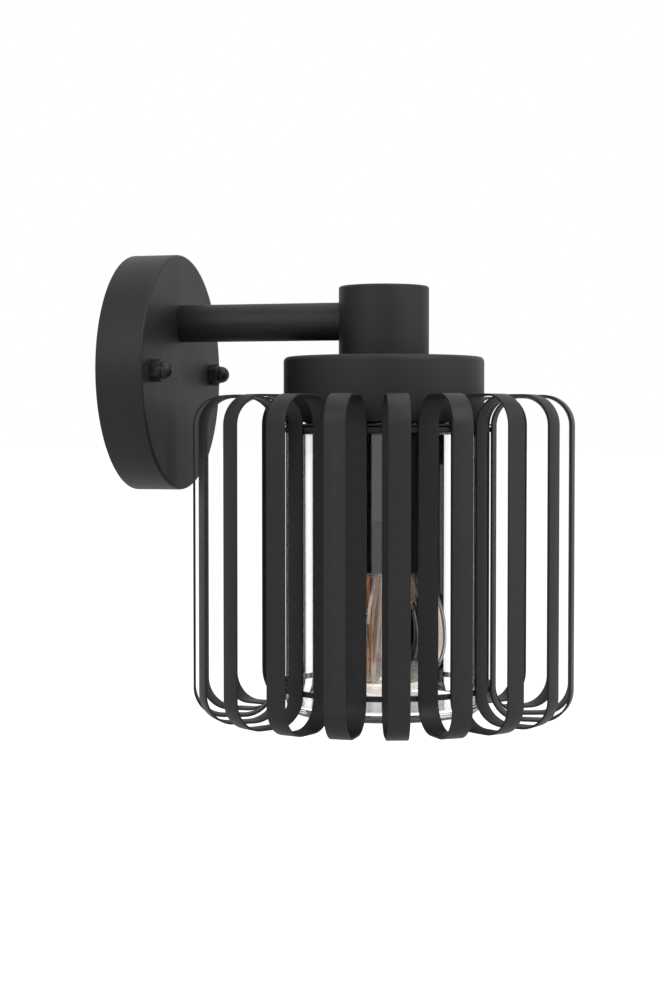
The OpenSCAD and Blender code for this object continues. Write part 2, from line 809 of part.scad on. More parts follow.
// Glass stem that carries the filament
stem_flare_r = lamp_neck_r - lamp_wall - fit_gap;
stem_wall = 0.8;
stem_r = 4;
stem_rod_r = 1.2;
stem_len = 18;
stem_button_r = 2.2;
stem_button_rise = 8;
stem_pinch_z = lamp_glass_top_z - stem_len;
stem_button_z = tip_z + stem_button_rise;

// Filament, which runs down and up between high and low hooks round the stem
hook_count = 13;
filament_r = 0.3;
bead_r = 0.4;
support_r = 0.25;
lead_in_r = 0.25;
support_gap = 0.15;
hook_drop = 5;
flat_sides = 8;
round_sides = 16;
hook_top_z = stem_pinch_z - hook_drop;
hook_low_z = stem_button_z;
hook_top_r = 9;
hook_low_r = 12;

module lamp_stem() {
    color("#dfe6e4", 0.5) at_lamp() rotate_extrude() polygon([
        [stem_flare_r, lamp_glass_top_z], [stem_r, stem_pinch_z + stem_r], [stem_rod_r, stem_pinch_z - stem_rod_r],
        [stem_rod_r, stem_button_z + stem_button_r], [stem_button_r, stem_button_z + stem_rod_r],
        [stem_button_r, stem_button_z - stem_rod_r], [0, stem_button_z - stem_button_r],
        [0, stem_pinch_z + stem_r], [stem_r - stem_wall, stem_pinch_z + stem_r + stem_wall],
        [stem_flare_r - stem_wall, lamp_glass_top_z]]);
}

// Where the filament turns at each hook
function hook_angle(i) = i * 360 / hook_count;
function is_high(i) = i % 2 == 0;
function hook(i) = let(r = is_high(i) ? hook_top_r : hook_low_r)
    [r * cos(hook_angle(i)), r * sin(hook_angle(i)), is_high(i) ? hook_top_z : hook_low_z];

// A straight strand between two points, round or with flat sides
module strand(from, to, r, sides) {
    span = to - from;
    translate(from) rotate([0, acos(span[2] / norm(span)), atan2(span[1], span[0])])
        cylinder(r = r, h = norm(span), $fn = sides);
}

// Two lead-in wires from the stem to the filament's ends, and a spoke to every other hook
module filament_supports() {
    color("#8f8f8f") at_lamp() for (i = [0:hook_count - 1]) {
        is_end = i == 0 || i == hook_count - 1;
        root_r = is_high(i) ? stem_rod_r : stem_button_r;
        start = [(root_r + support_gap) * cos(hook_angle(i)), (root_r + support_gap) * sin(hook_angle(i)),
            is_end ? stem_pinch_z - stem_rod_r : hook(i)[2]];
        whole = hook(i) - start;
        strand(start, start + whole * (1 - bead_r / norm(whole)), is_end ? lead_in_r : support_r, round_sides);
    }
}

// A zigzag of straight strands with a bead at each turn, flat-sided because it is so thin
module filament() {
    color("#e0a050") at_lamp() {
        for (i = [0:hook_count - 1])
            translate(hook(i) - [0, 0, bead_r]) cylinder(r = bead_r, h = 2 * bead_r, $fn = flat_sides);
        for (i = [0:hook_count - 2])
            strand(hook(i), hook(i + 1), filament_r, flat_sides);
    }
}

canopy_cover();
mounting_bracket();
canopy_studs();
stud_lock_nuts();
left_cap_nut();
right_cap_nut();
earth_screw();
earth_wire();
live_wire();
neutral_wire();
wire_connectors();
arm_tube();
arm_plug();
arm_nipple();
nipple_washers();
nipple_nuts();
socket_cup();
cup_bridge();
lamp_nipple();
drum_cap();
jar_fitter();
holder_sleeve();
socket_cap();
socket_body();
screw_shell();
centre_contact();
terminal_screws();
cage_top_plate();
cage_tab_screws();
cage_top_ring();
cage_bottom_ring();
jar_seal();
glass_jar();
lamp_glass();
lamp_base();
lamp_insulator();
lamp_contact();
lamp_stem();
filament_supports();
filament();
for (i = [1:loop_count])
    cage_loop(i);
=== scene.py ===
"""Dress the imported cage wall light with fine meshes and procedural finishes.

The classes hold lengths in millimetres and angles in degrees, except the studio's lengths in metres.
"""

import logging
import math
from collections.abc import Callable, Iterable, Sequence
from dataclasses import dataclass, field
from enum import Enum

import bmesh
import bpy
from mathutils import Matrix, Vector


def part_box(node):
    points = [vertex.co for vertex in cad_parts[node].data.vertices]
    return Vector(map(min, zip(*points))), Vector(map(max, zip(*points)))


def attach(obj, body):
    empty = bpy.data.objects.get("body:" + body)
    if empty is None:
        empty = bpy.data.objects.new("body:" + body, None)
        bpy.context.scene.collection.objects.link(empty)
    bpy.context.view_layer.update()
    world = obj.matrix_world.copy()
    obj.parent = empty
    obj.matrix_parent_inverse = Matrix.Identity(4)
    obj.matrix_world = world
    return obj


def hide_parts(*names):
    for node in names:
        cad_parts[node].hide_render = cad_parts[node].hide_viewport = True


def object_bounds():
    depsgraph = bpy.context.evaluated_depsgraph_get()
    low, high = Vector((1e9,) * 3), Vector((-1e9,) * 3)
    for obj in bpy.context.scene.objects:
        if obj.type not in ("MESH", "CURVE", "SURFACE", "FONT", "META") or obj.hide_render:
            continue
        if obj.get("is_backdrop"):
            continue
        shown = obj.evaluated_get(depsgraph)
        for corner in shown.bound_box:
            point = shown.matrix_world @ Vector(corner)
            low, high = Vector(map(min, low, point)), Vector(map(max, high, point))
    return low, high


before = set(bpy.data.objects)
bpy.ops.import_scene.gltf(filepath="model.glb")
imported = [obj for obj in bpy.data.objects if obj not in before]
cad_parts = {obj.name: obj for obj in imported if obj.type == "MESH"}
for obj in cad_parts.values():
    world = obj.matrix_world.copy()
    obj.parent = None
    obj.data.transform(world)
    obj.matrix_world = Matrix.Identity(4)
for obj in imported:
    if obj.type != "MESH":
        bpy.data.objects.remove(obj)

LOG = logging.getLogger("cage_wall_light")
MM = 0.001
# Distances, in millimetres, below which a point lies on the axis, or on a surface
ON_AXIS = 1e-6
ON_SURFACE = 1e-4
# Turn from +Z to the direction out of the wall
OUT_OF_WALL = Matrix.Rotation(math.radians(90), 4, "X")
# Places of the colour sockets of a mix node
MIX_SHARE, MIX_FIRST, MIX_SECOND, MIX_RESULT = 0, 6, 7, 2

Point = tuple[float, float]
Colour = tuple[float, float, float]
Mesh = bmesh.types.BMesh
Node = bpy.types.Node
Socket = bpy.types.NodeSocket
# What to add to a radius at an angle, radius and height
Shift = Callable[[float, float, float], float]


class Body(Enum):
    """The rigid bodies that pieces ride on."""

    FIXTURE = "fixture"
    JAR = "jar"
    LAMP = "lamp"
    LEFT_NUT = "left_nut"
    RIGHT_NUT = "right_nut"


class Brushing(Enum):
    """How the fine lines of a bare metal run, as their density along X, Y and Z."""

    ALONG = (5000.0, 300.0, 5000.0)
    AROUND = (300.0, 300.0, 5000.0)
    NONE = (900.0, 900.0, 900.0)


# Meshes, in millimetres


@dataclass(frozen=True)
class Extent:
    """The box of a CAD node at rest, in millimetres."""

    low: Vector
    high: Vector

    @classmethod
    def of(cls, node: str) -> "Extent":
        """Measure a CAD node."""
        low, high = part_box(node)
        return cls(low / MM, high / MM)

    @property
    def middle(self) -> Vector:
        """The middle of the box."""
        return (self.low + self.high) / 2

    @property
    def size(self) -> Vector:
        """The length of each side."""
        return self.high - self.low

    @property
    def upright(self) -> tuple[float, float, float]:
        """The radius, foot and top of a round piece that stands along Z."""
        return self.size.x / 2, self.low.z, self.high.z


def around(steps: int) -> list[float]:
    """Return evenly spaced angles round a full circle."""
    return [math.tau * k / steps for k in range(steps)]


def polar(radius: float, angle: float, height: float = 0.0) -> Vector:
    """Return the point at a distance and angle from the Z axis."""
    return Vector((radius * math.cos(angle), radius * math.sin(angle), height))


def at(place: Sequence[float], turn: Matrix = Matrix.Identity(4)) -> Matrix:
    """Return the move that turns a mesh and then puts it in its place."""
    return Matrix.Translation(place) @ turn


def rounded(corners: Sequence[tuple[float, ...]], steps: int = 6) -> list[Point]:
    """Round the corners of a closed outline with arcs.

    Args:
        corners: Both coordinates of each corner, and its radius where it is round.
        steps: Pieces in each arc.

    Returns:
        The outline's points.
    """
    points: list[Point] = []
    for i, (x, y, *radius) in enumerate(corners):
        if not radius:
            points.append((x, y))
            continue
        here = Vector((x, y))
        before = (Vector(corners[i - 1][:2]) - here).normalized()
        after = (Vector(corners[(i + 1) % len(corners)][:2]) - here).normalized()
        half = before.angle(after) / 2
        cut = radius[0] / math.tan(half)
        centre = here + (before + after).normalized() * (radius[0] / math.sin(half))
        start = here + before * cut - centre
        sweep = start.angle_signed(here + after * cut - centre)
        for k in range(steps + 1):
            arm = Matrix.Rotation(-sweep * k / steps, 2) @ start
            points.append((centre.x + arm.x, centre.y + arm.y))
    return points


def eased_box(left: float, right: float, low: float, high: float, edge: float) -> list[Point]:
    """Draw a rectangle whose four corners have one small radius."""
    places = ((left, low), (right, low), (right, high), (left, high))
    return rounded([(x, y, edge) for x, y in places], steps=3)


def can_section(
    radius: float, low: float, high: float, wall: float, edge: float, hole: float, lip: float, steps: int
) -> list[Point]:
    """Draw the section of a pressed can that is closed on top and open below.

    Args:
        radius: Outer radius.
        low: Height of the rim.
        high: Height of the top.
        wall: Wall thickness.
        edge: Radius of the top edge.
        hole: Radius of the hole in the top, or 0 for none.
        lip: Radius of the rim's edges.
        steps: Pieces in each arc.

    Returns:
        The outline's points.
    """
    # The smallest inner edge, and the flat ring that keeps the top edge's shading clean
    least_edge, guard = 0.3, 0.6
    rim = [(radius - wall, low, lip), (radius, low, lip)]
    top = [(radius, high, edge), (radius - edge - guard, high), (hole, high)]
    inside = [(hole, high - wall), (radius - wall, high - wall, max(edge - wall, least_edge))]
    return rounded([*rim, *top, *inside], steps)


def lofted(rings: Sequence[Sequence[Sequence[float]]], closed: bool = False, capped: bool = False) -> Mesh:
    """Skin a row of rings with faces.

    Args:
        rings: Equally many points in each ring, or a single one where the skin comes to a point.
        closed: Whether the last ring joins the first.
        capped: Whether the first and last rings are filled.

    Returns:
        The mesh.
    """
    mesh = bmesh.new()
    loops = [[mesh.verts.new(point) for point in ring] for ring in rings]
    for low, high in zip(loops, [*loops[1:], *loops[: int(closed)]]):
        count = max(len(low), len(high))
        for k in range(count if count > 1 else 0):
            n = (k + 1) % count
            corners = (low[k % len(low)], low[n % len(low)], high[n % len(high)], high[k % len(high)])
            mesh.faces.new(tuple(dict.fromkeys(corners)))
    if capped:
        mesh.faces.new(loops[0][::-1])
        mesh.faces.new(loops[-1])
    bmesh.ops.recalc_face_normals(mesh, faces=mesh.faces)
    return mesh


def lathe(outline: Sequence[Point], steps: int, closed: bool = True) -> Mesh:
    """Turn an outline of radii and heights round the Z axis."""
    rings = [[(0, 0, z)] if r < ON_AXIS else [polar(r, a, z) for a in around(steps)] for r, z in outline]
    return lofted(rings, closed)


def ribbed(outline: Sequence[Point], shift: Shift, steps: int) -> Mesh:
    """Turn an outline round the Z axis with a radius that varies round it.

    Args:
        outline: Points of radius and height.
        shift: Gives what to add to the radius.
        steps: Pieces round the axis.

    Returns:
        The turned mesh.
    """
    mesh = lathe(outline, steps)
    for v in mesh.verts:
        r = math.hypot(v.co.x, v.co.y)
        if r >= ON_AXIS:
            grown = r + shift(math.atan2(v.co.y, v.co.x), r, v.co.z)
            v.co.x *= grown / r
            v.co.y *= grown / r
    return mesh


@dataclass(frozen=True)
class Thread:
    """A screw thread that is cut into a turned surface.

    Attributes:
        pitch: Distance between turns.
        depth: Depth of the groove.
        low: Height at which the thread starts.
        high: Height at which it ends.
        rounded: Whether the thread is rolled in sheet or glass, with a wavy section.
        inside: Whether it is cut into a bore.
    """

    pitch: float
    depth: float
    low: float
    high: float
    rounded: bool = False
    inside: bool = False

    def heights(self, per_turn: int = 8) -> list[float]:
        """Return the heights at which the surface needs points."""
        count = max(2, int((self.high - self.low) / self.pitch * per_turn))
        return [self.low + (self.high - self.low) * k / count for k in range(count + 1)]

    def cut(self, angle: float, z: float) -> float:
        """Return how far the surface is cut back, as a change of radius.

        Args:
            angle: Angle round the axis, in radians.
            z: Height.

        Returns:
            The change, which goes into the metal.
        """
        if not self.low <= z <= self.high:
            return 0.0
        phase = (z / self.pitch - angle / math.tau) % 1.0
        wave = 0.5 - 0.5 * math.cos(math.tau * phase) if self.rounded else abs(2 * phase - 1)
        fade = min(1.0, (z - self.low) / self.pitch, (self.high - z) / self.pitch)
        return (self.depth if self.inside else -self.depth) * wave * fade

    def on(self, radius: float) -> Shift:
        """Return what the thread adds to the radius of points on its own surface."""
        return lambda angle, r, z: self.cut(angle, z) if abs(r - radius) < ON_SURFACE else 0.0

    def bar(self, bore: float, radius: float, low: float, high: float, steps: int) -> Mesh:
        """Build a round bar or pipe with the thread on its outside.

        Args:
            bore: Radius of the bore, or 0 for a solid bar.
            radius: Outer radius.
            low: Height of the lower end.
            high: Height of the upper end.
            steps: Pieces round the axis.

        Returns:
            The mesh.
        """
        chamfer = self.depth / 2
        foot = [(radius - chamfer, low), (radius, low + chamfer)]
        middle = [(radius, h) for h in self.heights() if low + chamfer < h < high - chamfer]
        head = [(radius, high - chamfer), (radius - chamfer, high)]
        return ribbed([*foot, *middle, *head, (bore, high), (bore, low)], self.on(radius), steps)


@dataclass(frozen=True)
class Nipple:
    """The sizes that both hollow threaded nipples share."""

    bore: float = 3.5
    pitch: float = 0.94
    depth: float = 0.45
    plain: float = 0.3

    def mesh(self, radius: float, low: float, high: float) -> Mesh:
        """Build a nipple between two heights."""
        thread = Thread(self.pitch, self.depth, low + self.plain, high - self.plain)
        return thread.bar(self.bore, radius, low, high, steps=40)


def tube(points: Sequence[Vector], radius: float, sides: int) -> Mesh:
    """Run a round tube along a line of points, with closed ends.

    Args:
        points: The tube's centre line.
        radius: Radius of the tube.
        sides: Pieces round it.

    Returns:
        The mesh.
    """
    is_steep = abs((points[1] - points[0]).normalized().z) >= 0.9
    side = Vector((1, 0, 0)) if is_steep else Vector((0, 0, 1))
    rings = []
    for i, p in enumerate(points):
        ahead = (points[min(i + 1, len(points) - 1)] - points[max(i - 1, 0)]).normalized()
        side = (side - ahead * side.dot(ahead)).normalized()
        other = ahead.cross(side)
        rings.append([p + radius * (math.cos(a) * side + math.sin(a) * other) for a in around(sides)])
    return lofted(rings, capped=True)


def routed(corners: Sequence[Vector], bends: Sequence[float], steps: int = 10) -> list[Vector]:
    """Round the corners of a route in space.

    Args:
        corners: The route's corners, ends included.
        bends: Bend radius at each inner corner.
        steps: Pieces in each bend.

    Returns:
        Points along the route.
    """
    points = [corners[0]]
    for i, bend in enumerate(bends, start=1):
        a = (corners[i - 1] - corners[i]).normalized()
        b = (corners[i + 1] - corners[i]).normalized()
        half = a.angle(b) / 2
        centre = corners[i] + (a + b).normalized() * (bend / math.sin(half))
        start, end = (corners[i] + way * (bend / math.tan(half)) - centre for way in (a, b))
        points += [centre + start.slerp(end, k / steps).normalized() * bend for k in range(steps + 1)]
    return [*points, corners[-1]]


def as_data(name: str, mesh: Mesh) -> bpy.types.Mesh:
    """Turn a working mesh into Blender's mesh data.

    Args:
        name: The data's name.
        mesh: The working mesh, which is freed.

    Returns:
        The mesh data.
    """
    data = bpy.data.meshes.new(name)
    mesh.to_mesh(data)
    mesh.free()
    return data


def in_scene(data: bpy.types.ID) -> bpy.types.Object:
    """Put a mesh, lamp or camera into the scene as an object of the same name.

    Args:
        data: Its data.

    Returns:
        The object.
    """
    thing = bpy.data.objects.new(data.name, data)
    bpy.context.scene.collection.objects.link(thing)
    return thing


def gathered(parts: Iterable[Mesh]) -> Mesh:
    """Gather several meshes into one.

    Args:
        parts: The meshes, which are freed.

    Returns:
        One mesh that holds them all.
    """
    whole = bmesh.new()
    for part in parts:
        scratch = as_data("scratch", part)
        whole.from_mesh(scratch)
        bpy.data.meshes.remove(scratch)
    return whole


def placed(mesh: Mesh, place: Matrix) -> Mesh:
    """Move a mesh, and return it."""
    bmesh.ops.transform(mesh, matrix=place, verts=mesh.verts)
    return mesh


def drill(radius: float, low: float, high: float) -> Mesh:
    """Build a round drill that stands on the Z axis, to cut holes with."""
    return lathe([(0.0, low), (radius, low), (radius, high), (0.0, high)], steps=48, closed=False)


def pierced(mesh: Mesh, drills: Iterable[Mesh]) -> Mesh:
    """Cut drills out of a mesh.

    Args:
        mesh: The mesh, which is freed.
        drills: What is cut away, which is freed.

    Returns:
        The cut mesh.
    """
    blank = in_scene(as_data("blank", mesh))
    cutter = in_scene(as_data("drill", gathered(drills)))
    cut = blank.modifiers.new("cut", "BOOLEAN")
    cut.operation = "DIFFERENCE"
    cut.solver = "EXACT"
    cut.object = cutter
    whole = blank.evaluated_get(bpy.context.evaluated_depsgraph_get())
    result = bmesh.new()
    result.from_mesh(whole.to_mesh())
    whole.to_mesh_clear()
    for thing in (blank, cutter):
        data = thing.data
        bpy.data.objects.remove(thing)
        bpy.data.meshes.remove(data)
    return result


# Shader nodes


class Sheet:
    """A node tree with short calls to add and join nodes."""

    def __init__(self, tree: bpy.types.NodeTree) -> None:
        """Hold a node tree."""
        self.tree = tree

    def add(self, kind: str, **settings: object) -> Node:
        """Add a node.

        Args:
            kind: The node's type name, without its prefix.
            settings: Attributes of the node.

        Returns:
            The node.
        """
        node = self.tree.nodes.new(kind if kind.startswith("Node") else "ShaderNode" + kind)
        for key, value in settings.items():
            setattr(node, key, value)
        return node

    def put(self, value: object, socket: Socket) -> None:
        """Feed an input from an output, or with a number or colour.

        Args:
            value: The output, number or colour.
            socket: The input.
        """
        if isinstance(value, Socket):
            self.tree.links.new(value, socket)
        else:
            socket.default_value = (*value, 1) if isinstance(value, tuple) else value

    def fill(self, node: Node, **values: object) -> None:
        """Feed several inputs of a node, named with underscores for spaces."""
        for label, value in values.items():
            self.put(value, node.inputs[label.replace("_", " ")])

    def math(self, operation: str, *values: object, clamp: bool = False) -> Socket:
        """Add a math node.

        Args:
            operation: Its operation.
            values: An output or number for each input.
            clamp: Whether to keep the result between 0 and 1.

        Returns:
            Its output.
        """
        node = self.add("Math", operation=operation, use_clamp=clamp)
        for value, socket in zip(values, node.inputs):
            self.put(value, socket)
        return node.outputs[0]

    def blend(self, mask: Socket, a: Colour | Socket, b: Colour) -> Socket:
        """Mix two colours.

        Args:
            mask: The share of the second colour.
            a: The colour where the mask is 0.
            b: The colour where the mask is 1.

        Returns:
            The mixed colour.
        """
        node = self.add("Mix", data_type="RGBA")
        for value, place in ((mask, MIX_SHARE), (a, MIX_FIRST), (b, MIX_SECOND)):
            self.put(value, node.inputs[place])
        return node.outputs[MIX_RESULT]

    def shade(self, mask: Socket, colour: Colour, dark: float, light: float) -> Socket:
        """Vary a colour between a darker and a lighter share of itself."""
        dark_tone, light_tone = (tuple(min(1.0, c * share) for c in colour) for share in (dark, light))
        return self.blend(mask, dark_tone, light_tone)

    def vary(self, mask: Socket, middle: float, spread: float) -> Socket:
        """Vary a number round its middle."""
        return self.math("MULTIPLY_ADD", mask, spread, middle - spread / 2, clamp=True)

    def noise(self, scale: float | Socket, detail: float, place: Socket | None = None) -> Socket:
        """Add a noise texture.

        Args:
            scale: Its scale.
            detail: Its detail.
            place: Where it is looked up, if not at the object's own coordinates.

        Returns:
            Its height, from 0 to 1.
        """
        node = self.add("TexNoise")
        self.fill(node, Vector=place or self.add("TexCoord").outputs["Object"], Scale=scale, Detail=detail)
        return node.outputs["Fac"]

    def bump(self, height: Socket, depth: float) -> Socket:
        """Add a bump.

        Args:
            height: Height of the surface, from 0 to 1.
            depth: Depth of the bump, in millimetres.

        Returns:
            The bumped normal.
        """
        node = self.add("Bump")
        self.fill(node, Strength=1.0, Distance=depth * MM, Height=height)
        return node.outputs[0]

    def rays(self, *kinds: str) -> Socket:
        """Add a mask for the rays of some kinds, such as Camera.

        Args:
            kinds: The kinds.

        Returns:
            The mask.
        """
        path = self.add("LightPath")
        mask, *others = (path.outputs[f"Is {kind} Ray"] for kind in kinds)
        for other in others:
            mask = self.math("MAXIMUM", mask, other)
        return mask

    def group(self, draw: "Draw", **values: float) -> dict[str, Socket]:
        """Place a node group, which is drawn on first use.

        Args:
            draw: Draws the group's nodes. The group takes its name.
            values: Each input's value, named with underscores for spaces.

        Returns:
            The outputs of the placed group.
        """
        tree = bpy.data.node_groups.get(draw.__name__) or new_group(draw, values)
        node = self.add("Group", node_tree=tree)
        self.fill(node, **values)
        return {socket.name: socket for socket in node.outputs}


# A function that draws a group: it takes the group's nodes and inputs, and gives its outputs
Draw = Callable[[Sheet, bpy.types.bpy_prop_collection], dict[str, Socket]]


def new_group(draw: Draw, labels: Iterable[str]) -> bpy.types.ShaderNodeTree:
    """Build a shader node group of plain numbers.

    Args:
        draw: Draws the group's nodes.
        labels: Names of the group's inputs, with underscores for spaces.

    Returns:
        The group.
    """
    tree = bpy.data.node_groups.new(draw.__name__, "ShaderNodeTree")
    for label in labels:
        tree.interface.new_socket(name=label.replace("_", " "), in_out="INPUT", socket_type="NodeSocketFloat")
    sheet = Sheet(tree)
    made = draw(sheet, sheet.add("NodeGroupInput").outputs)
    for label in made:
        tree.interface.new_socket(name=label, in_out="OUTPUT", socket_type="NodeSocketFloat")
    sheet.fill(sheet.add("NodeGroupOutput"), **made)
    return tree


def coat_grain(sheet: Sheet, given: bpy.types.bpy_prop_collection) -> dict[str, Socket]:
    """Draw the fine orange peel and slow mottle of sprayed or moulded surfaces.

    Args:
        sheet: The group's nodes.
        given: The group's inputs.

    Returns:
        The group's outputs.
    """
    contrast = 2.2
    slow = sheet.noise(given["Mottle Scale"], detail=4.0)
    mottle = sheet.vary(slow, 0.5, contrast)
    return {"Grain": sheet.noise(given["Grain Scale"], detail=3.0), "Mottle": mottle}


def edge_wear_and_highlight(sheet: Sheet, given: bpy.types.bpy_prop_collection) -> dict[str, Socket]:
    """Find a piece's outer edges, broken up in patches, as a mask for rubbing and for a painted highlight
    along them.

    Args:
        sheet: The group's nodes.
        given: The group's inputs.

    Returns:
        The group's outputs.
    """
    raised = sheet.math("SUBTRACT", sheet.add("NewGeometry").outputs["Pointiness"], 0.5)
    grown = sheet.math("MULTIPLY", raised, given["Sharpness"], clamp=True)
    broken = sheet.math("MULTIPLY", grown, sheet.noise(given["Patch Scale"], detail=5.0))
    return {"Wear": sheet.math("MULTIPLY", broken, given["Amount"], clamp=True)}


def drawn_lines(sheet: Sheet, given: bpy.types.bpy_prop_collection) -> dict[str, Socket]:
    """Draw the fine parallel lines of brushed, drawn or turned metal.

    Args:
        sheet: The group's nodes.
        given: The group's inputs.

    Returns:
        The group's outputs.
    """
    spread = sheet.add("CombineXYZ")
    sheet.fill(spread, X=given["Lines X"], Y=given["Lines Y"], Z=given["Lines Z"])
    stretched = sheet.add("VectorMath", operation="MULTIPLY")
    sheet.put(sheet.add("TexCoord").outputs["Object"], stretched.inputs[0])
    sheet.put(spread.outputs[0], stretched.inputs[1])
    return {"Lines": sheet.noise(1.0, detail=4.0, place=stretched.outputs[0])}


def glass_ripple(sheet: Sheet, given: bpy.types.bpy_prop_collection) -> dict[str, Socket]:
    """Draw the slow ripple and faint film on blown glass."""
    return {
        "Ripple": sheet.noise(given["Ripple Scale"], detail=1.0),
        "Film": sheet.noise(given["Film Scale"], detail=6.0),
    }


# Finishes


@dataclass(frozen=True)
class Finish:
    """A finish that a piece takes.

    Attributes:
        name: The material's name.
        slot: The record's material slot, which is not used.
        colour: Main colour, linear.
        roughness: Roughness of the surface.
    """

    name: str
    slot: str
    colour: Colour
    roughness: float

    def material(self) -> bpy.types.Material:
        """Build the finish's material."""
        made = bpy.data.materials.new(self.name)
        made.use_nodes = True
        made.diffuse_color = (*self.colour, 1)
        self.dress(Sheet(made.node_tree), made.node_tree.nodes["Principled BSDF"])
        return made

    def dress(self, sheet: Sheet, shader: Node) -> None:
        """Join the finish's nodes to its shader. Each kind of finish has its own way.

        Args:
            sheet: The material's nodes.
            shader: The material's shader.
        """
        raise NotImplementedError


@dataclass(frozen=True)
class CoatedMetal(Finish):
    """Sprayed or powder-coated metal.

    Attributes:
        worn_and_highlit: Colour painted on the outer edges, as rubbed paint and as a painted highlight.
        wear_and_highlight: How strongly that colour is painted on the edges.
        gloss: Specular level of the coat.
        grain_scale: Density of the orange peel.
        grain_depth: Depth of the orange peel, in millimetres.
    """

    worn_and_highlit: Colour = (0.05, 0.05, 0.05)
    wear_and_highlight: float = 0.3
    gloss: float = 0.3
    grain_scale: float = 1500.0
    grain_depth: float = 0.004

    def dress(self, sheet: Sheet, shader: Node) -> None:
        """Join the coat's grain and mottle, and its edges painted lighter as rubbing and highlight, to the
        shader.
        """
        grain = sheet.group(coat_grain, Grain_Scale=self.grain_scale, Mottle_Scale=45.0)
        # The outer edges are painted a lighter colour, as rubbed paint and as a painted highlight
        wear_and_highlight = sheet.group(edge_wear_and_highlight, Sharpness=14.0, Patch_Scale=350.0, Amount=self.wear_and_highlight)
        body = sheet.shade(grain["Mottle"], self.colour, dark=0.88, light=1.12)
        sheet.fill(
            shader,
            Base_Color=sheet.blend(wear_and_highlight["Wear"], body, self.worn_and_highlit),
            Roughness=sheet.vary(grain["Mottle"], self.roughness, spread=0.06),
            Specular_IOR_Level=self.gloss,
            Normal=sheet.bump(grain["Grain"], self.grain_depth),
        )


@dataclass(frozen=True)
class BareMetal(Finish):
    """Plated, brushed or turned metal.

    Attributes:
        tarnish: Darker colour of dull patches.
        brushing: How the fine lines run.
        line_depth: Depth of the lines, in millimetres.
        dulling: How much rougher a dull patch is.
    """

    tarnish: Colour
    brushing: Brushing = Brushing.AROUND
    line_depth: float = 0.004
    dulling: float = 0.16

    def dress(self, sheet: Sheet, shader: Node) -> None:
        """Join the metal's lines and tarnish, and its edges kept bright as rubbed metal and painted
        highlight, to the shader.
        """
        x, y, z = self.brushing.value
        lines = sheet.group(drawn_lines, Lines_X=x, Lines_Y=y, Lines_Z=z)
        grain = sheet.group(coat_grain, Grain_Scale=2500.0, Mottle_Scale=90.0)
        # The outer edges lose their tarnish and are painted brighter, as rubbed metal and as a painted
        # highlight
        wear_and_highlight = sheet.group(edge_wear_and_highlight, Sharpness=10.0, Patch_Scale=500.0, Amount=0.5)
        dull = sheet.math("MULTIPLY", grain["Mottle"], sheet.math("SUBTRACT", 1.0, wear_and_highlight["Wear"]))
        sheet.fill(
            shader,
            Base_Color=sheet.blend(dull, self.colour, self.tarnish),
            Roughness=sheet.math("MULTIPLY_ADD", dull, self.dulling, self.roughness, clamp=True),
            Metallic=1.0,
            Normal=sheet.bump(lines["Lines"], self.line_depth),
        )


@dataclass(frozen=True)
class Moulded(Finish):
    """Moulded plastic, ceramic, rubber or wire insulation.

    Attributes:
        gloss: Specular level.
        grain_scale: Density of the mould's texture.
        grain_depth: Depth of the mould's texture, in millimetres.
    """

    gloss: float = 0.4
    grain_scale: float = 2500.0
    grain_depth: float = 0.006

    def dress(self, sheet: Sheet, shader: Node) -> None:
        """Join the mould's texture and slight unevenness to the shader."""
        grain = sheet.group(coat_grain, Grain_Scale=self.grain_scale, Mottle_Scale=140.0)
        sheet.fill(
            shader,
            Base_Color=sheet.shade(grain["Mottle"], self.colour, dark=0.85, light=1.08),
            Roughness=sheet.vary(grain["Mottle"], self.roughness, spread=0.1),
            Specular_IOR_Level=self.gloss,
            Normal=sheet.bump(grain["Grain"], self.grain_depth),
        )


@dataclass(frozen=True)
class Glass(Finish):
    """Clear or tinted glass.

    Attributes:
        pale: Lighter tint that varies with the main colour.
        index: Refractive index.
        ripple_depth: Depth of the slow ripple, in millimetres.
    """

    pale: Colour
    index: float = 1.5
    ripple_depth: float = 0.01

    def dress(self, sheet: Sheet, shader: Node) -> None:
        """Join the glass's tint, film and ripple to the shader."""
        ripple = sheet.group(glass_ripple, Ripple_Scale=28.0, Film_Scale=70.0)
        sheet.fill(
            shader,
            Base_Color=sheet.blend(ripple["Ripple"], self.colour, self.pale),
            Roughness=sheet.vary(ripple["Film"], self.roughness, spread=0.02),
            Metallic=0.0,
            Transmission_Weight=1.0,
            IOR=self.index,
            Normal=sheet.bump(ripple["Ripple"], self.ripple_depth),
        )


@dataclass(frozen=True)
class GlowingWire(Finish):
    """Wire with a faint warm glow.

    Attributes:
        glow: Colour of the glow.
        strength: Strength of the glow.
    """

    glow: Colour
    strength: float

    def dress(self, sheet: Sheet, shader: Node) -> None:
        """Join the wire's colour and glow, which vary along it, to the shader."""
        grain = sheet.group(coat_grain, Grain_Scale=3000.0, Mottle_Scale=160.0)
        sheet.fill(
            shader,
            Base_Color=sheet.shade(grain["Mottle"], self.colour, dark=0.7, light=1.0),
            Emission_Color=sheet.shade(grain["Mottle"], self.glow, dark=0.6, light=1.0),
            Emission_Strength=self.strength,
            Roughness=self.roughness,
            Normal=sheet.bump(grain["Grain"], depth=0.01),
        )


# The black coats keep the default edge colour, a lighter grey painted on their outer edges as rubbed paint
# and as a painted highlight
SATIN_BLACK = CoatedMetal("satin_black", "black_metal", (0.0100, 0.0100, 0.0103), 0.5, gloss=0.25)
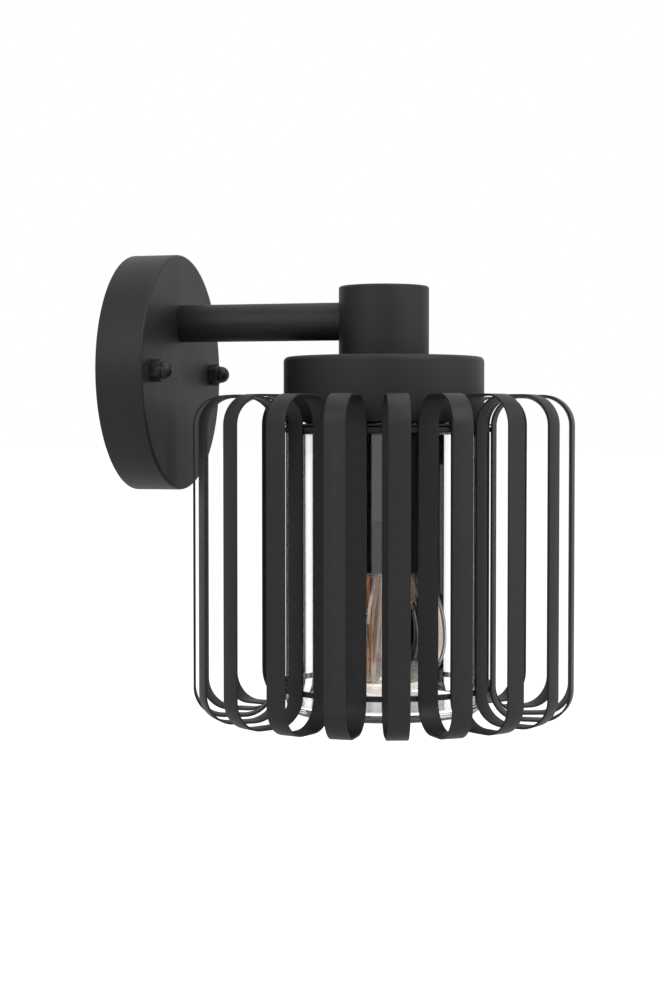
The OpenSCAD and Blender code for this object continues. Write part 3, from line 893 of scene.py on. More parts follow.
# The sleeve's coat is a darker copy of the same black, its tone painting the shade that falls inside the jar
SHADED_SLEEVE_BLACK = CoatedMetal("sleeve_black_painted_shade", "black_metal", (0.006, 0.006, 0.006), 0.5, wear_and_highlight=0.1, gloss=0.2)
NUT_BLACK = CoatedMetal("nut_black", "black_metal", (0.008, 0.008, 0.0082), 0.42, gloss=0.26)
EARTH_GREEN = CoatedMetal("earth_green", "earth_green", (0.03, 0.16, 0.05), 0.3, (0.35, 0.36, 0.33), 0.8, 0.5)
# Bare metal without fine lines
PLAIN = Brushing.NONE
ZINC = BareMetal("zinc_plate", "zinc_steel", (0.56, 0.57, 0.58), 0.32, (0.38, 0.39, 0.38), Brushing.ALONG)
TURNED_STEEL = BareMetal("turned_steel", "zinc_steel", (0.50, 0.51, 0.52), 0.3, (0.33, 0.34, 0.34))
CAST_ALUMINIUM = BareMetal("cast_aluminium", "aluminium", (0.62, 0.63, 0.64), 0.42, (0.48, 0.49, 0.5), PLAIN)
BRASS = BareMetal("spun_brass", "brass", (0.68, 0.50, 0.22), 0.28, (0.45, 0.31, 0.12))
COPPER = BareMetal("bare_copper", "copper", (0.72, 0.38, 0.24), 0.3, (0.48, 0.22, 0.12), PLAIN)
SOLDER = BareMetal("solder", "solder", (0.6, 0.61, 0.63), 0.35, (0.42, 0.43, 0.45), PLAIN)
HOOK_STEEL = BareMetal("hook_steel", "hook_wire", (0.42, 0.38, 0.33), 0.35, (0.25, 0.2, 0.15), PLAIN)
PHENOLIC = Moulded("black_phenolic", "black_plastic", (0.02, 0.02, 0.021), 0.45)
BASE_GLAZE = Moulded("black_glaze", "base_insulator", (0.012, 0.012, 0.016), 0.18, 0.6, grain_depth=0.003)
LIVE_PVC = Moulded("live_insulation", "black_insulation", (0.015, 0.015, 0.016), 0.35, grain_scale=1800.0)
NEUTRAL_PVC = Moulded("neutral_insulation", "white_insulation", (0.72, 0.71, 0.67), 0.35, grain_scale=1800.0)
CONNECTOR_ORANGE = Moulded("connector_orange", "orange_plastic", (0.72, 0.19, 0.03), 0.38)
SEAL_BLACK = Moulded("seal_rubber", "seal_rubber", (0.012, 0.012, 0.012), 0.75, 0.2, grain_depth=0.02)
CLEAR_GLASS = Glass("clear_glass", "clear_glass", (0.996, 0.999, 0.998), 0.0, (0.999, 1.0, 1.0), 1.57)
AMBER_GLASS = Glass("amber_glass", "amber_glass", (0.94, 0.87, 0.78), 0.0, (0.97, 0.915, 0.85), 1.5, 0.02)
STEM_GLASS = Glass("stem_glass", "stem_glass", (0.93, 0.94, 0.93), 0.02, (0.96, 0.97, 0.96), 1.5, 0.03)
FILAMENT = GlowingWire("filament_wire", "filament_wire", (0.38, 0.18, 0.08), 0.5, (1.0, 0.42, 0.16), 0.22)


# Pieces


@dataclass
class Bench:
    """Makes pieces from meshes, and dresses the CAD nodes that stay."""

    made: int = 0
    dressed: int = 0
    materials: dict[str, bpy.types.Material] = field(default_factory=dict)

    def material(self, finish: Finish) -> bpy.types.Material:
        """Return a finish's material, built on first use."""
        name, ready = finish.name, self.materials
        return ready.get(name) or ready.setdefault(name, finish.material())

    def add(
        self, name: str, mesh: Mesh, finish: Finish, node: str, body: Body = Body.FIXTURE, crease: float = 32
    ) -> None:
        """Add a piece that stands for a CAD node.

        Args:
            name: The piece's name.
            mesh: Its mesh in millimetres, in the row frame. It is freed.
            finish: Its finish.
            node: The CAD node that it replaces.
            body: The body that it rides on.
            crease: Angle above which an edge stays sharp, in degrees.
        """
        bmesh.ops.scale(mesh, vec=(MM, MM, MM), verts=mesh.verts)
        data = as_data(name, mesh)
        data.polygons.foreach_set("use_smooth", [True] * len(data.polygons))
        data.set_sharp_from_angle(angle=math.radians(crease))
        data.materials.append(self.material(finish))
        piece = in_scene(data)
        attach(piece, body.value)
        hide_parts(node)
        self.made += 1
        LOG.info("piece %s: %d faces, %s, rides on %s", name, len(data.polygons), finish.name, body.value)

    def dress(self, finish: Finish, *nodes: str) -> None:
        """Give CAD nodes their finish.

        Args:
            finish: The finish.
            nodes: The nodes' names.
        """
        for node in nodes:
            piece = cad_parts[node]
            piece.data.materials.clear()
            piece.data.materials.append(self.material(finish))
            self.dressed += 1
            LOG.info("node %s: %s", node, finish.name)


@dataclass
class WallPlate:
    """The canopy with its bar, studs, nuts and earth screw."""

    bench: Bench
    wall: float = 1.2
    edge: float = 1.5
    lip: float = 0.35
    hole_gap: float = 0.4
    stud_pitch: float = 1.0
    stud_groove: float = 0.55
    stud_plain: float = 0.4
    nut_flats: float = 9.8
    nut_hex: float = 4.8
    nut_hole: float = 7.2
    nut_gap: float = 0.08
    nut_chamfer: float = 0.35
    nut_bevel: float = 0.1
    # Steps under the dome, out from its waist and up from the hexagon
    groove: tuple[Point, ...] = ((0.1, 0.05), (0.0, 0.2), (0.0, 0.6))
    groove_depth: float = 0.2
    dome: float = 4.4
    dome_steps: int = 14

    def build(self) -> None:
        """Build every piece of the wall plate."""
        self.build_cover()
        self.build_studs()
        self.build_cap_nut("left_cap_nut", "left_dome_nut", Body.LEFT_NUT)
        self.build_cap_nut("right_cap_nut", "right_dome_nut", Body.RIGHT_NUT)
        self.bench.dress(ZINC, "mounting_bracket", "stud_lock_nuts")
        self.bench.dress(EARTH_GREEN, "earth_screw")

    def build_cover(self) -> None:
        """Build the pressed cover as a turned shell with a soft front edge."""
        box, studs, nipple = (Extent.of(node) for node in ("canopy_cover", "canopy_studs", "arm_nipple"))
        radius, depth = max(box.size.x, box.size.z) / 2, box.size.y
        section = can_section(radius, 0, depth, self.wall, self.edge, hole=0, lip=self.lip, steps=6)
        stud = studs.size.z / 2
        holes = [
            (studs.low.x + stud, 0.0, stud),
            (studs.high.x - stud, 0.0, stud),
            (0.0, nipple.middle.z, nipple.size.z / 2),
        ]
        drills = [placed(drill(r + self.hole_gap, depth / 2, depth * 2), at((x, z, 0))) for x, z, r in holes]
        shell = placed(pierced(lathe(section, steps=192), drills), OUT_OF_WALL)
        self.bench.add("canopy_shell", shell, SATIN_BLACK, "canopy_cover")

    def build_studs(self) -> None:
        """Build the two threaded studs."""
        box = Extent.of("canopy_studs")
        length, radius = -box.low.y, box.size.z / 2
        offset = box.high.x - radius
        thread = Thread(self.stud_pitch, self.stud_groove, self.stud_plain, length - self.stud_plain)
        places = [at((x, 0, 0), OUT_OF_WALL) for x in (-offset, offset)]
        studs = [placed(thread.bar(0, radius, 0, length, steps=32), place) for place in places]
        self.bench.add("canopy_stud_pair", gathered(studs), ZINC, "canopy_studs")

    def build_cap_nut(self, node: str, name: str, body: Body) -> None:
        """Build a dome nut: a chamfered hexagon under a round dome, with a blind hole.

        Args:
            node: The CAD node.
            name: The piece's name.
            body: The body that it rides on.
        """
        box = Extent.of(node)
        height = box.size.y
        flat, half_side = self.nut_flats / 2, math.radians(30)
        corner = flat / math.cos(half_side)
        bore = Extent.of("canopy_studs").size.z / 2 + self.nut_gap
        waist, top = self.dome - self.groove_depth, self.nut_hex
        turns = [math.radians(90) * k / self.dome_steps for k in range(self.dome_steps)]
        arc = [(self.dome * math.cos(a), height - self.dome + self.dome * math.sin(a)) for a in turns]
        side = [(corner, self.nut_chamfer), (corner, top - self.nut_chamfer), (flat - self.nut_bevel, top)]
        groove = [(waist + x, top + z) for x, z in self.groove]
        hole = [(0.0, self.nut_hole), (bore, self.nut_hole)]
        outline = [(bore, 0.0), (flat - self.nut_bevel, 0.0), *side, *groove, *arc, (0.0, height), *hole]

        def hexagon(angle: float, r: float, z: float) -> float:
            """Pull the round blank in to the flats."""
            if r < waist + self.groove_depth or z > top + ON_SURFACE:
                return 0.0
            local = (angle - half_side) % (2 * half_side) - half_side
            return min(0.0, flat / math.cos(local) - r)

        nut = ribbed(outline, hexagon, steps=144)
        place = at((box.middle.x, box.high.y, box.middle.z), OUT_OF_WALL)
        self.bench.add(name, placed(nut, place), NUT_BLACK, node, body, crease=24)


@dataclass
class Arm:
    """The tube arm with its plug, nipple, washer and nut."""

    bench: Bench
    wall: float = 1.2
    ease: float = 0.15
    nipple: Nipple = Nipple()

    def build(self) -> None:
        """Build every piece of the arm."""
        box, inner = Extent.of("arm_tube"), Extent.of("arm_nipple")
        radius = box.size.z / 2
        section = eased_box(radius - self.wall, radius, -box.high.y, -box.low.y, self.ease)
        rise = at((0, 0, box.middle.z), OUT_OF_WALL)
        self.bench.add("arm_tube_bar", placed(lathe(section, steps=96), rise), SATIN_BLACK, "arm_tube")
        pipe = self.nipple.mesh(inner.size.z / 2, -inner.high.y, -inner.low.y)
        self.bench.add("arm_nipple_threaded", placed(pipe, rise), TURNED_STEEL, "arm_nipple")
        self.bench.dress(TURNED_STEEL, "arm_plug")
        self.bench.dress(ZINC, "nipple_washers", "nipple_nuts")


@dataclass
class Canister:
    """The cup and drum cap, and the threaded stack inside them."""

    bench: Bench
    cup_wall: float = 1.5
    cup_edge: float = 1.2
    cap_wall: float = 1.2
    cap_edge: float = 2.5
    lip: float = 0.3
    arm_gap: float = 0.05
    jar_pitch: float = 4.0
    jar_thread: float = 0.8
    thread_low: float = 0.5
    thread_top: float = 2.0
    sleeve_wall: float = 1.2
    sleeve_lip: float = 0.45
    sleeve_edge: float = 0.4
    fitter_wall: float = 3.0
    fitter_top: float = 1.5
    hole_gap: float = 0.4
    nipple: Nipple = Nipple()
    axis: Matrix = field(init=False)
    nipple_hole: float = field(init=False)

    def __post_init__(self) -> None:
        """Find the move onto the lamp's axis, and the hole that the nipple goes through."""
        self.axis = at((0, Extent.of("drum_cap").middle.y, 0))
        self.nipple_hole = Extent.of("lamp_nipple").size.x / 2 + self.hole_gap

    def build(self) -> None:
        """Build every piece of the canister."""
        cap = self.drum("drum_cap", self.cap_wall, self.cap_edge, self.nipple_hole)
        self.bench.add("drum_cap_shell", cap, SATIN_BLACK, "drum_cap")
        self.build_cup()
        self.build_sleeve()
        self.build_fitter()
        pipe = self.nipple.mesh(*Extent.of("lamp_nipple").upright)
        self.bench.add("lamp_nipple_threaded", placed(pipe, self.axis), TURNED_STEEL, "lamp_nipple")
        self.bench.dress(TURNED_STEEL, "cup_bridge")

    def drum(self, node: str, wall: float, edge: float, hole: float) -> Mesh:
        """Turn a drum that is closed on top and open below, on the lamp's axis."""
        section = can_section(*Extent.of(node).upright, wall, edge, hole, self.lip, steps=8)
        return placed(lathe(section, steps=160), self.axis)

    def build_cup(self) -> None:
        """Build the cup, with the hole in its side that the arm enters by."""
        cup = self.drum("socket_cup", self.cup_wall, self.cup_edge, 0)
        arm = Extent.of("arm_tube")
        side_hole = drill(arm.size.z / 2 + self.arm_gap, -arm.high.y, -self.axis.translation.y)
        cup = pierced(cup, [placed(side_hole, at((0, 0, arm.middle.z), OUT_OF_WALL))])
        self.bench.add("socket_cup_shell", cup, SATIN_BLACK, "socket_cup")

    def build_sleeve(self) -> None:
        """Build the black tube round the lampholder, with a rolled lower lip."""
        radius, low, high = Extent.of("holder_sleeve").upright
        inner = radius - self.sleeve_wall
        rim = [(inner, low, self.sleeve_lip), (radius, low, self.sleeve_lip)]
        top = [(radius, high, self.sleeve_edge), (self.nipple_hole, high)]
        inside = [(self.nipple_hole, high - self.sleeve_wall), (inner, high - self.sleeve_wall, self.lip)]
        sleeve = placed(lathe(rounded([*rim, *top, *inside]), steps=128), self.axis)
        self.bench.add("holder_sleeve_tube", sleeve, SHADED_SLEEVE_BLACK, "holder_sleeve")

    def build_fitter(self) -> None:
        """Build the collar whose bore has the jar's coarse thread."""
        outer, low, high = Extent.of("jar_fitter").upright
        ceiling, bore = high - self.fitter_top, outer - self.fitter_wall
        start, end = low + self.thread_low, min(ceiling - self.thread_top, Extent.of("glass_jar").high.z)
        thread = Thread(self.jar_pitch, self.jar_thread, start, end, rounded=True, inside=True)
        outside = [(bore, low), (outer, low), (outer, high)]
        hole = [(self.nipple_hole, high), (self.nipple_hole, ceiling), (bore, ceiling)]
        outline = [*outside, *hole, *[(bore, h) for h in reversed(thread.heights(per_turn=10))]]
        collar = placed(ribbed(outline, thread.on(bore), steps=128), self.axis)
        self.bench.add("jar_fitter_collar", collar, CAST_ALUMINIUM, "jar_fitter")


@dataclass
class Lampholder:
    """The screw lampholder inside the sleeve."""

    bench: Bench

    def build(self) -> None:
        """Dress every piece of the lampholder."""
        self.bench.dress(PHENOLIC, "socket_body", "socket_cap")
        self.bench.dress(BRASS, "screw_shell", "centre_contact", "terminal_screws")


@dataclass
class Cage:
    """The strip loops, their rings and the top plate."""

    bench: Bench
    axis: Matrix
    count: int = 20
    strip_width: float = 10.2
    strip_thickness: float = 1.0
    corner: float = 15.0
    corner_steps: int = 14
    ease: float = 0.14
    ring_width: float = 3.0
    ring_ease: float = 0.25
    ring_proud: float = 0.02
    weld_length: float = 4.0
    weld_radius: float = 0.45
    weld_steps: int = 8
    weld_taper: float = 0.5
    weld_ripple: float = 0.12
    weld_waves: float = 9.0

    def build(self) -> None:
        """Build every piece of the cage."""
        for number in range(self.count):
            self.build_loop(number)
        self.build_ring("cage_top_ring", "top_ring_hoop", on_top=True)
        self.build_ring("cage_bottom_ring", "bottom_ring_hoop", on_top=False)
        self.bench.dress(SATIN_BLACK, "cage_top_plate")
        self.bench.dress(ZINC, "cage_tab_screws")

    def turn(self, number: int) -> Matrix:
        """Return the turn of a loop, counted from 0 at the front round to the right."""
        return Matrix.Rotation(math.radians(number * 360 / self.count - 90), 4, "Z")

    def build_loop(self, number: int) -> None:
        """Build one loop of flat strip with eased edges.

        Args:
            number: The loop's number, from 0.
        """
        box = Extent.of("cage_loop_01")
        depth, height = box.size.y, box.size.z
        half = self.strip_thickness / 2
        section = eased_box(-half, half, -self.strip_width / 2, self.strip_width / 2, self.ease)
        rings = []
        for quarter, (sx, sz) in enumerate(((1, 1), (-1, 1), (-1, -1), (1, -1))):
            centre = Vector((sx * (depth / 2 - self.corner), 0, sz * (height / 2 - self.corner)))
            for k in range(self.corner_steps + 1):
                a = math.radians(90) * (quarter + k / self.corner_steps)
                out = Vector((math.cos(a), 0, math.sin(a)))
                point = centre + (self.corner - half) * out
                rings.append([point + out * u + Vector((0, v, 0)) for u, v in section])
        outer = self.axis.translation.y - box.low.y
        place = self.axis @ self.turn(number) @ at((outer - depth / 2, 0, box.middle.z))
        name = f"{number + 1:02d}"
        mesh = placed(lofted(rings, closed=True), place)
        self.bench.add("strip_loop_" + name, mesh, SATIN_BLACK, "cage_loop_" + name)

    def build_ring(self, node: str, name: str, on_top: bool) -> None:
        """Build a flat ring with a weld bead at each loop, on the side that faces away.

        Args:
            node: The CAD node.
            name: The piece's name.
            on_top: Whether the beads lie on top, or else underneath.
        """
        box = Extent.of(node)
        outer, low, high = box.size.y / 2, box.low.z, box.high.z
        section = eased_box(outer - self.ring_width, outer + self.ring_proud, low, high, self.ring_ease)
        parts = [lathe(section, steps=160)]
        height = high if on_top else low
        for number in range(self.count):
            start = Vector((outer, -self.weld_length / 2, height))
            step = Vector((0, self.weld_length / self.weld_steps, 0))
            bead = tube([start + step * k for k in range(self.weld_steps + 1)], self.weld_radius, sides=8)
            for v in bead.verts:
                along = abs(v.co.y) / (self.weld_length / 2)
                ripple = 1 + self.weld_ripple * math.cos(v.co.y * self.weld_waves)
                swell = (1 - self.weld_taper * along**2) * ripple
                v.co.x = outer + (v.co.x - outer) * swell
                v.co.z = height + (v.co.z - height) * swell
            parts.append(placed(bead, self.turn(number)))
        self.bench.add(name, placed(gathered(parts), self.axis), SATIN_BLACK, node)


@dataclass
class Jar:
    """The glass jar and its seal."""

    bench: Bench
    axis: Matrix
    wall: float = 2.8
    floor: float = 3.6
    base_edge: float = 3.5
    inner_base_edge: float = 2.0
    shoulder_edge: float = 3.0
    inner_shoulder_edge: float = 1.0
    throat_edge: float = 1.2
    rim_edge: float = 1.0
    fitter_wall: float = 3.0
    fitter_gap: float = 0.08
    neck_height: float = 20.0
    thread_pitch: float = 4.0
    thread_depth: float = 0.7
    thread_low: float = 3.0
    thread_high: float = 2.5
    seal_gap: float = 0.4
    seal_ease: float = 0.3

    @property
    def neck_radius(self) -> float:
        """Radius of the neck that screws into the fitter's bore."""
        return Extent.of("jar_fitter").upright[0] - self.fitter_wall - self.fitter_gap

    def build(self) -> None:
        """Build the jar and its seal."""
        self.build_glass()
        self.build_seal()

    def build_glass(self) -> None:
        """Blow the jar: a can with rounded edges and a threaded neck."""
        radius, low, high = Extent.of("glass_jar").upright
        shoulder, neck = high - self.neck_height, self.neck_radius
        bore, inner = neck - self.wall, radius - self.wall
        corners = [
            (0, low),
            (radius, low, self.base_edge),
            (radius, shoulder, self.shoulder_edge),
            (neck, shoulder),
            (neck, high, self.rim_edge),
            (bore, high, self.rim_edge),
            (bore, shoulder - self.wall, self.throat_edge),
            (inner, shoulder - self.wall, self.inner_shoulder_edge),
            (inner, low + self.floor, self.inner_base_edge),
            (0, low + self.floor),
        ]
        outline = rounded(corners, steps=8)
        start, end = shoulder + self.thread_low, high - self.thread_high
        thread = Thread(self.thread_pitch, self.thread_depth, start, end, rounded=True)
        at_neck = outline.index((neck, shoulder)) + 1
        outline[at_neck:at_neck] = [(neck, h) for h in thread.heights(per_turn=10)]
        jar = placed(ribbed(outline, thread.on(neck), steps=160), self.axis)
        self.bench.add("glass_jar_blown", jar, CLEAR_GLASS, "glass_jar", Body.JAR)

    def build_seal(self) -> None:
        """Build the flat rubber seal."""
        box = Extent.of("jar_seal")
        outer = max(box.size.x, box.size.y) / 2
        section = eased_box(self.neck_radius + self.seal_gap, outer, box.low.z, box.high.z, self.seal_ease)
        self.bench.add("jar_seal_ring", placed(lathe(section, steps=128), self.axis), SEAL_BLACK, "jar_seal")


@dataclass
class Lamp:
    """The amber lamp with its screw base, stem and filament."""

    bench: Bench
    axis: Matrix
    wall: float = 0.8
    belly_height: float = 29.5
    belly_power: float = 2.3
    neck_power: float = 1.5
    # Pieces of the envelope's outline below and above the belly
    glass_steps: tuple[int, int] = (32, 40)
    base_pitch: float = 3.63
    base_groove: float = 0.75
    base_skirt: float = 3.5
    base_rim: float = 1.0
    hooks: int = 13
    hook_turn: float = 30.5
    top_hook: float = 9.0
    low_hook: float = 12.0
    hook_root: float = 0.9
    hook_bend: float = 0.75
    hook_arch: float = 0.5
    # Points round the strand, outward and upward from it
    hook_eye: tuple[Point, ...] = ((0, -0.35), (0.45, 0.05), (0, 0.4))
    hook_wire: float = 0.17
    lead_wire: float = 0.25
    lead_root: float = 19.2
    pinch_depth: float = 18.0
    # Corners of the stem's skin and hollow: radius, height over the pinch, and rounding where there is any
    stem_skin: tuple[tuple[float, ...], ...] = ((4.6, 8.0, 6.0), (3.6, 2.0, 2.0))
    stem_hollow: tuple[tuple[float, ...], ...] = ((0.0, 4.0), (3.0, 7.0, 2.0))
    rod: float = 1.2
    rod_root: float = 1.6
    button: float = 2.2
    button_height: float = 4.4
    button_slope: float = 1.2
    # Roundings of the rod's root and foot, then of the button's shoulder and foot
    rod_edges: tuple[float, ...] = (1.0, 1.0, 0.8, 0.9)
    strand: float = 0.65
    strand_steps: int = 12
    bead: float = 0.4
    sag: float = 0.9

    def build(self) -> None:
        """Build every piece of the lamp."""
        self.build_envelope()
        self.build_base()
        self.build_stem()
        self.build_filament()
        self.build_hooks()
        self.bench.dress(BASE_GLAZE, "lamp_insulator")
        self.bench.dress(SOLDER, "lamp_contact")

    def envelope(self, inset: float) -> list[Point]:
        """Return the envelope's outline from the tip up to the neck.

        Args:
            inset: Distance in from the outer surface.

        Returns:
            Points of radius and height.
        """
        radius, tip, top = Extent.of("lamp_glass").upright
        base = Extent.of("lamp_base")
        neck, belly = base.size.x / 2 - self.wall, tip + self.belly_height
        below, above = self.glass_steps
        points = []
        for a in (math.radians(90) * k / below for k in range(below + 1)):
            points.append(((radius - inset) * math.sin(a), belly - (self.belly_height - inset) * math.cos(a)))
        for s in (k / above for k in range(1, above + 1)):
            r = neck + (radius - neck) * (1 - s**self.belly_power) ** self.neck_power
            points.append((r - inset, belly + s * (base.low.z - belly)))
        return [*points, (neck - inset, top)]

    def build_envelope(self) -> None:
        """Blow the amber envelope."""
        outline = [*self.envelope(0.0), *reversed(self.envelope(self.wall))]
        mesh = placed(lathe(outline, steps=128), self.axis)
        self.bench.add("lamp_envelope", mesh, AMBER_GLASS, "lamp_glass", Body.LAMP, crease=50)

    def build_base(self) -> None:
        """Roll the base's thread into its shell."""
        radius, low, high = Extent.of("lamp_base").upright
        start, end = low + self.base_skirt, high - self.base_rim
        thread = Thread(self.base_pitch, self.base_groove, start, end, rounded=True)
        shell = placed(thread.bar(radius - self.wall, radius, low, high, steps=96), self.axis)
        self.bench.add("lamp_base_shell", shell, BRASS, "lamp_base", Body.LAMP)

    def build_stem(self) -> None:
        """Draw the glass stem with its flare, pinch, rod and button."""
        flare, low, high = Extent.of("lamp_stem").upright
        pinch, rod_low, slope = high - self.pinch_depth, low + self.button_height, self.button_slope
        shapes = (self.stem_skin, self.stem_hollow)
        skin, hollow = ([(r, pinch + rise, *edge) for r, rise, *edge in shape] for shape in shapes)
        rod = ((self.rod, pinch - self.rod_root), (self.rod, rod_low))
        button = ((self.button, rod_low - slope), (self.button, low + slope))
        foot = [(*place, edge) for place, edge in zip((*rod, *button), self.rod_edges)]
        corners = [(flare, high), *skin, *foot, (0, low), *hollow, (flare - self.wall, high)]
        stem = placed(lathe(rounded(corners, steps=5), steps=48), self.axis)
        self.bench.add("lamp_stem_drawn", stem, STEM_GLASS, "lamp_stem", Body.LAMP, crease=60)

    def hook_angle(self, number: int) -> float:
        """Return a hook's angle round the lamp's axis."""
        return math.tau * number / self.hooks + math.radians(self.hook_turn)

    def hook(self, number: int) -> Vector:
        """Return the point where the filament turns at a hook.

        Args:
            number: The hook's number, from 0. Even ones are at the top.

        Returns:
            The point.
        """
        box = Extent.of("filament")
        low, high = (self.low_hook, box.low.z + self.bead), (self.top_hook, box.high.z - self.bead)
        r, z = low if number % 2 else high
        return polar(r, self.hook_angle(number), z)

    def build_filament(self) -> None:
        """Hang the filament in slack strands from its hooks."""
        line: list[Vector] = []
        for number in range(self.hooks - 1):
            for t in (k / self.strand_steps for k in range(self.strand_steps)):
                point = self.hook(number).lerp(self.hook(number + 1), t)
                out = Vector((point.x, point.y, 0)).normalized()
                line.append(point + out * (math.sin(math.pi * t) * self.sag))
        line.append(self.hook(self.hooks - 1))
        mesh = placed(tube(line, self.strand, sides=8), self.axis)
        self.bench.add("filament_strands", mesh, FILAMENT, "filament", Body.LAMP)

    def build_hooks(self) -> None:
        """Draw the wire hooks, of which the first and last are the lead-in wires."""
        lead_height = Extent.of("lamp_stem").high.z - self.lead_root
        wires = []
        for number in range(self.hooks):
            end, out = self.hook(number), polar(1, self.hook_angle(number))
            is_lead = number in (0, self.hooks - 1)
            root = self.hook_root * (self.button if number % 2 else self.rod)
            start = out * root + Vector((0, 0, lead_height if is_lead else end.z))
            bend = start.lerp(end, self.hook_bend) + Vector((0, 0, 0 if is_lead else self.hook_arch))
            eye = [end + out * x + Vector((0, 0, z)) for x, z in self.hook_eye]
            wire = self.lead_wire if is_lead else self.hook_wire
            wires.append(tube([start, start.lerp(bend, 0.5), bend, *eye], wire, sides=8))
        mesh = placed(gathered(wires), self.axis)
        self.bench.add("filament_hooks", mesh, HOOK_STEEL, "filament_supports", Body.LAMP, crease=60)


@dataclass
class Wiring:
    """The leads, the earth wire and the twist-on connectors."""

    bench: Bench
    lead: float = 1.0
    lead_bends: tuple[float, float, float] = (4.0, 6.0, 2.5)
    lead_end: float = 9.15
    earth: float = 0.8
    earth_bend: float = 1.8
    earth_steps: int = 16
    earth_jog: float = 10.4
    cap_length: float = 20.0
    cap_mouth: float = 4.5
    cap_end: float = 3.6
    cap_hole: float = 12.0
    # Chamfers at the mouth and the closed end
    cap_edges: tuple[float, float] = (0.4, 0.8)
    cap_gap: float = 0.05
    ribs: int = 14
    rib_depth: float = 0.35
    rib_low: float = 3.0
    rib_high: float = 18.0
    rib_steps: int = 20

    def build(self) -> None:
        """Build every wire and connector."""
        self.build_lead("live_wire", "live_lead", 1, LIVE_PVC)
        self.build_lead("neutral_wire", "neutral_lead", -1, NEUTRAL_PVC)
        self.build_earth()
        self.build_connectors()

    def build_lead(self, node: str, name: str, side: int, finish: Finish) -> None:
        """Run a lead from its connector along the arm and down to its terminal.

        Args:
            node: The CAD node.
            name: The piece's name.
            side: 1 for the right-hand lead, or -1 for the left-hand one.
            finish: Its insulation.
        """
        box, r = Extent.of("live_wire"), self.lead
        near, far, high, low = box.high.y - r, box.low.y + r, box.high.z - r, box.low.z + r
        middle = box.low.x + r
        turns = [(box.high.x, near, high), (middle, near, high), (middle, far, high), (middle, far, low)]
        route = [Vector((side * x, y, z)) for x, y, z in (*turns, (self.lead_end, far, low))]
        self.bench.add(name, tube(routed(route, self.lead_bends), r, sides=20), finish, node)

    def build_earth(self) -> None:
        """Run the bare earth wire from its eye round the screw down to its connector."""
        box, r = Extent.of("earth_wire"), self.earth
        eye = box.size.x / 2 - r
        near, far = box.high.y - r, box.low.y + r
        turns = [math.pi * k / self.earth_steps for k in range(self.earth_steps)]
        arc = [Vector((box.middle.x + eye * math.cos(a), near, eye * math.sin(a))) for a in turns]
        places = ((near, 0), (near, -self.earth_jog), (far, -self.earth_jog), (far, box.low.z))
        drop = routed([Vector((box.middle.x - eye, y, z)) for y, z in places], [self.earth_bend] * 2)
        self.bench.add("earth_lead", tube([*arc, *drop], r, sides=16), COPPER, "earth_wire")

    def connector(self, wire: float) -> Mesh:
        """Mould one twist-on connector, with its mouth at zero and grip ribs round it.

        Args:
            wire: Radius of the wire in it.

        Returns:
            The mesh, which points along Z.
        """
        bore, length, (chamfer, nose) = wire + self.cap_gap, self.cap_length, self.cap_edges

        def wall(z: float) -> float:
            """Return the outer radius at a height."""
            return self.cap_mouth + (self.cap_end - self.cap_mouth) * z / length

        def rib(angle: float, r: float, z: float) -> float:
            """Cut the wall back between the ribs."""
            if r < self.cap_end - self.rib_depth or not self.rib_low <= z <= self.rib_high:
                return 0.0
            fade = min(1.0, z - self.rib_low, self.rib_high - z)
            return -self.rib_depth * fade * (0.5 - 0.5 * math.cos(angle * self.ribs))

        rise = (self.rib_high - self.rib_low) / self.rib_steps
        outline = [
            (bore, 0.0),
            (self.cap_mouth - chamfer, 0.0),
            (wall(chamfer), chamfer),
            *[(wall(z), z) for z in (self.rib_low + rise * k for k in range(self.rib_steps + 1))],
            (wall(length - nose), length - nose),
            (wall(length) - nose, length),
            (0.0, length),
            (0.0, self.cap_hole),
            (bore, self.cap_hole),
        ]
        return ribbed(outline, rib, steps=112)

    def build_connectors(self) -> None:
        """Put a connector on each lead and on the earth wire."""
        box, live, earth = (Extent.of(node) for node in ("wire_connectors", "live_wire", "earth_wire"))
        mouth = Vector((box.high.x - self.cap_length, live.high.y - self.lead, live.high.z - self.lead))
        caps = []
        for side in (-1, 1):
            place = at((side * mouth.x, mouth.y, mouth.z), Matrix.Rotation(math.radians(side * 90), 4, "Y"))
            caps.append(placed(self.connector(self.lead), place))
        mouth = (earth.low.x + self.earth, earth.low.y + self.earth, box.low.z + self.cap_length)
        caps.append(placed(self.connector(self.earth), at(mouth, Matrix.Rotation(math.pi, 4, "X"))))
        self.bench.add("twist_connectors", gathered(caps), CONNECTOR_ORANGE, "wire_connectors")


# Studio


@dataclass(frozen=True)
class SoftBox:
    """One large soft lamp, with its place and side in metres and its power in watts."""

    name: str
    place: tuple[float, float, float]
    size: float
    power: float


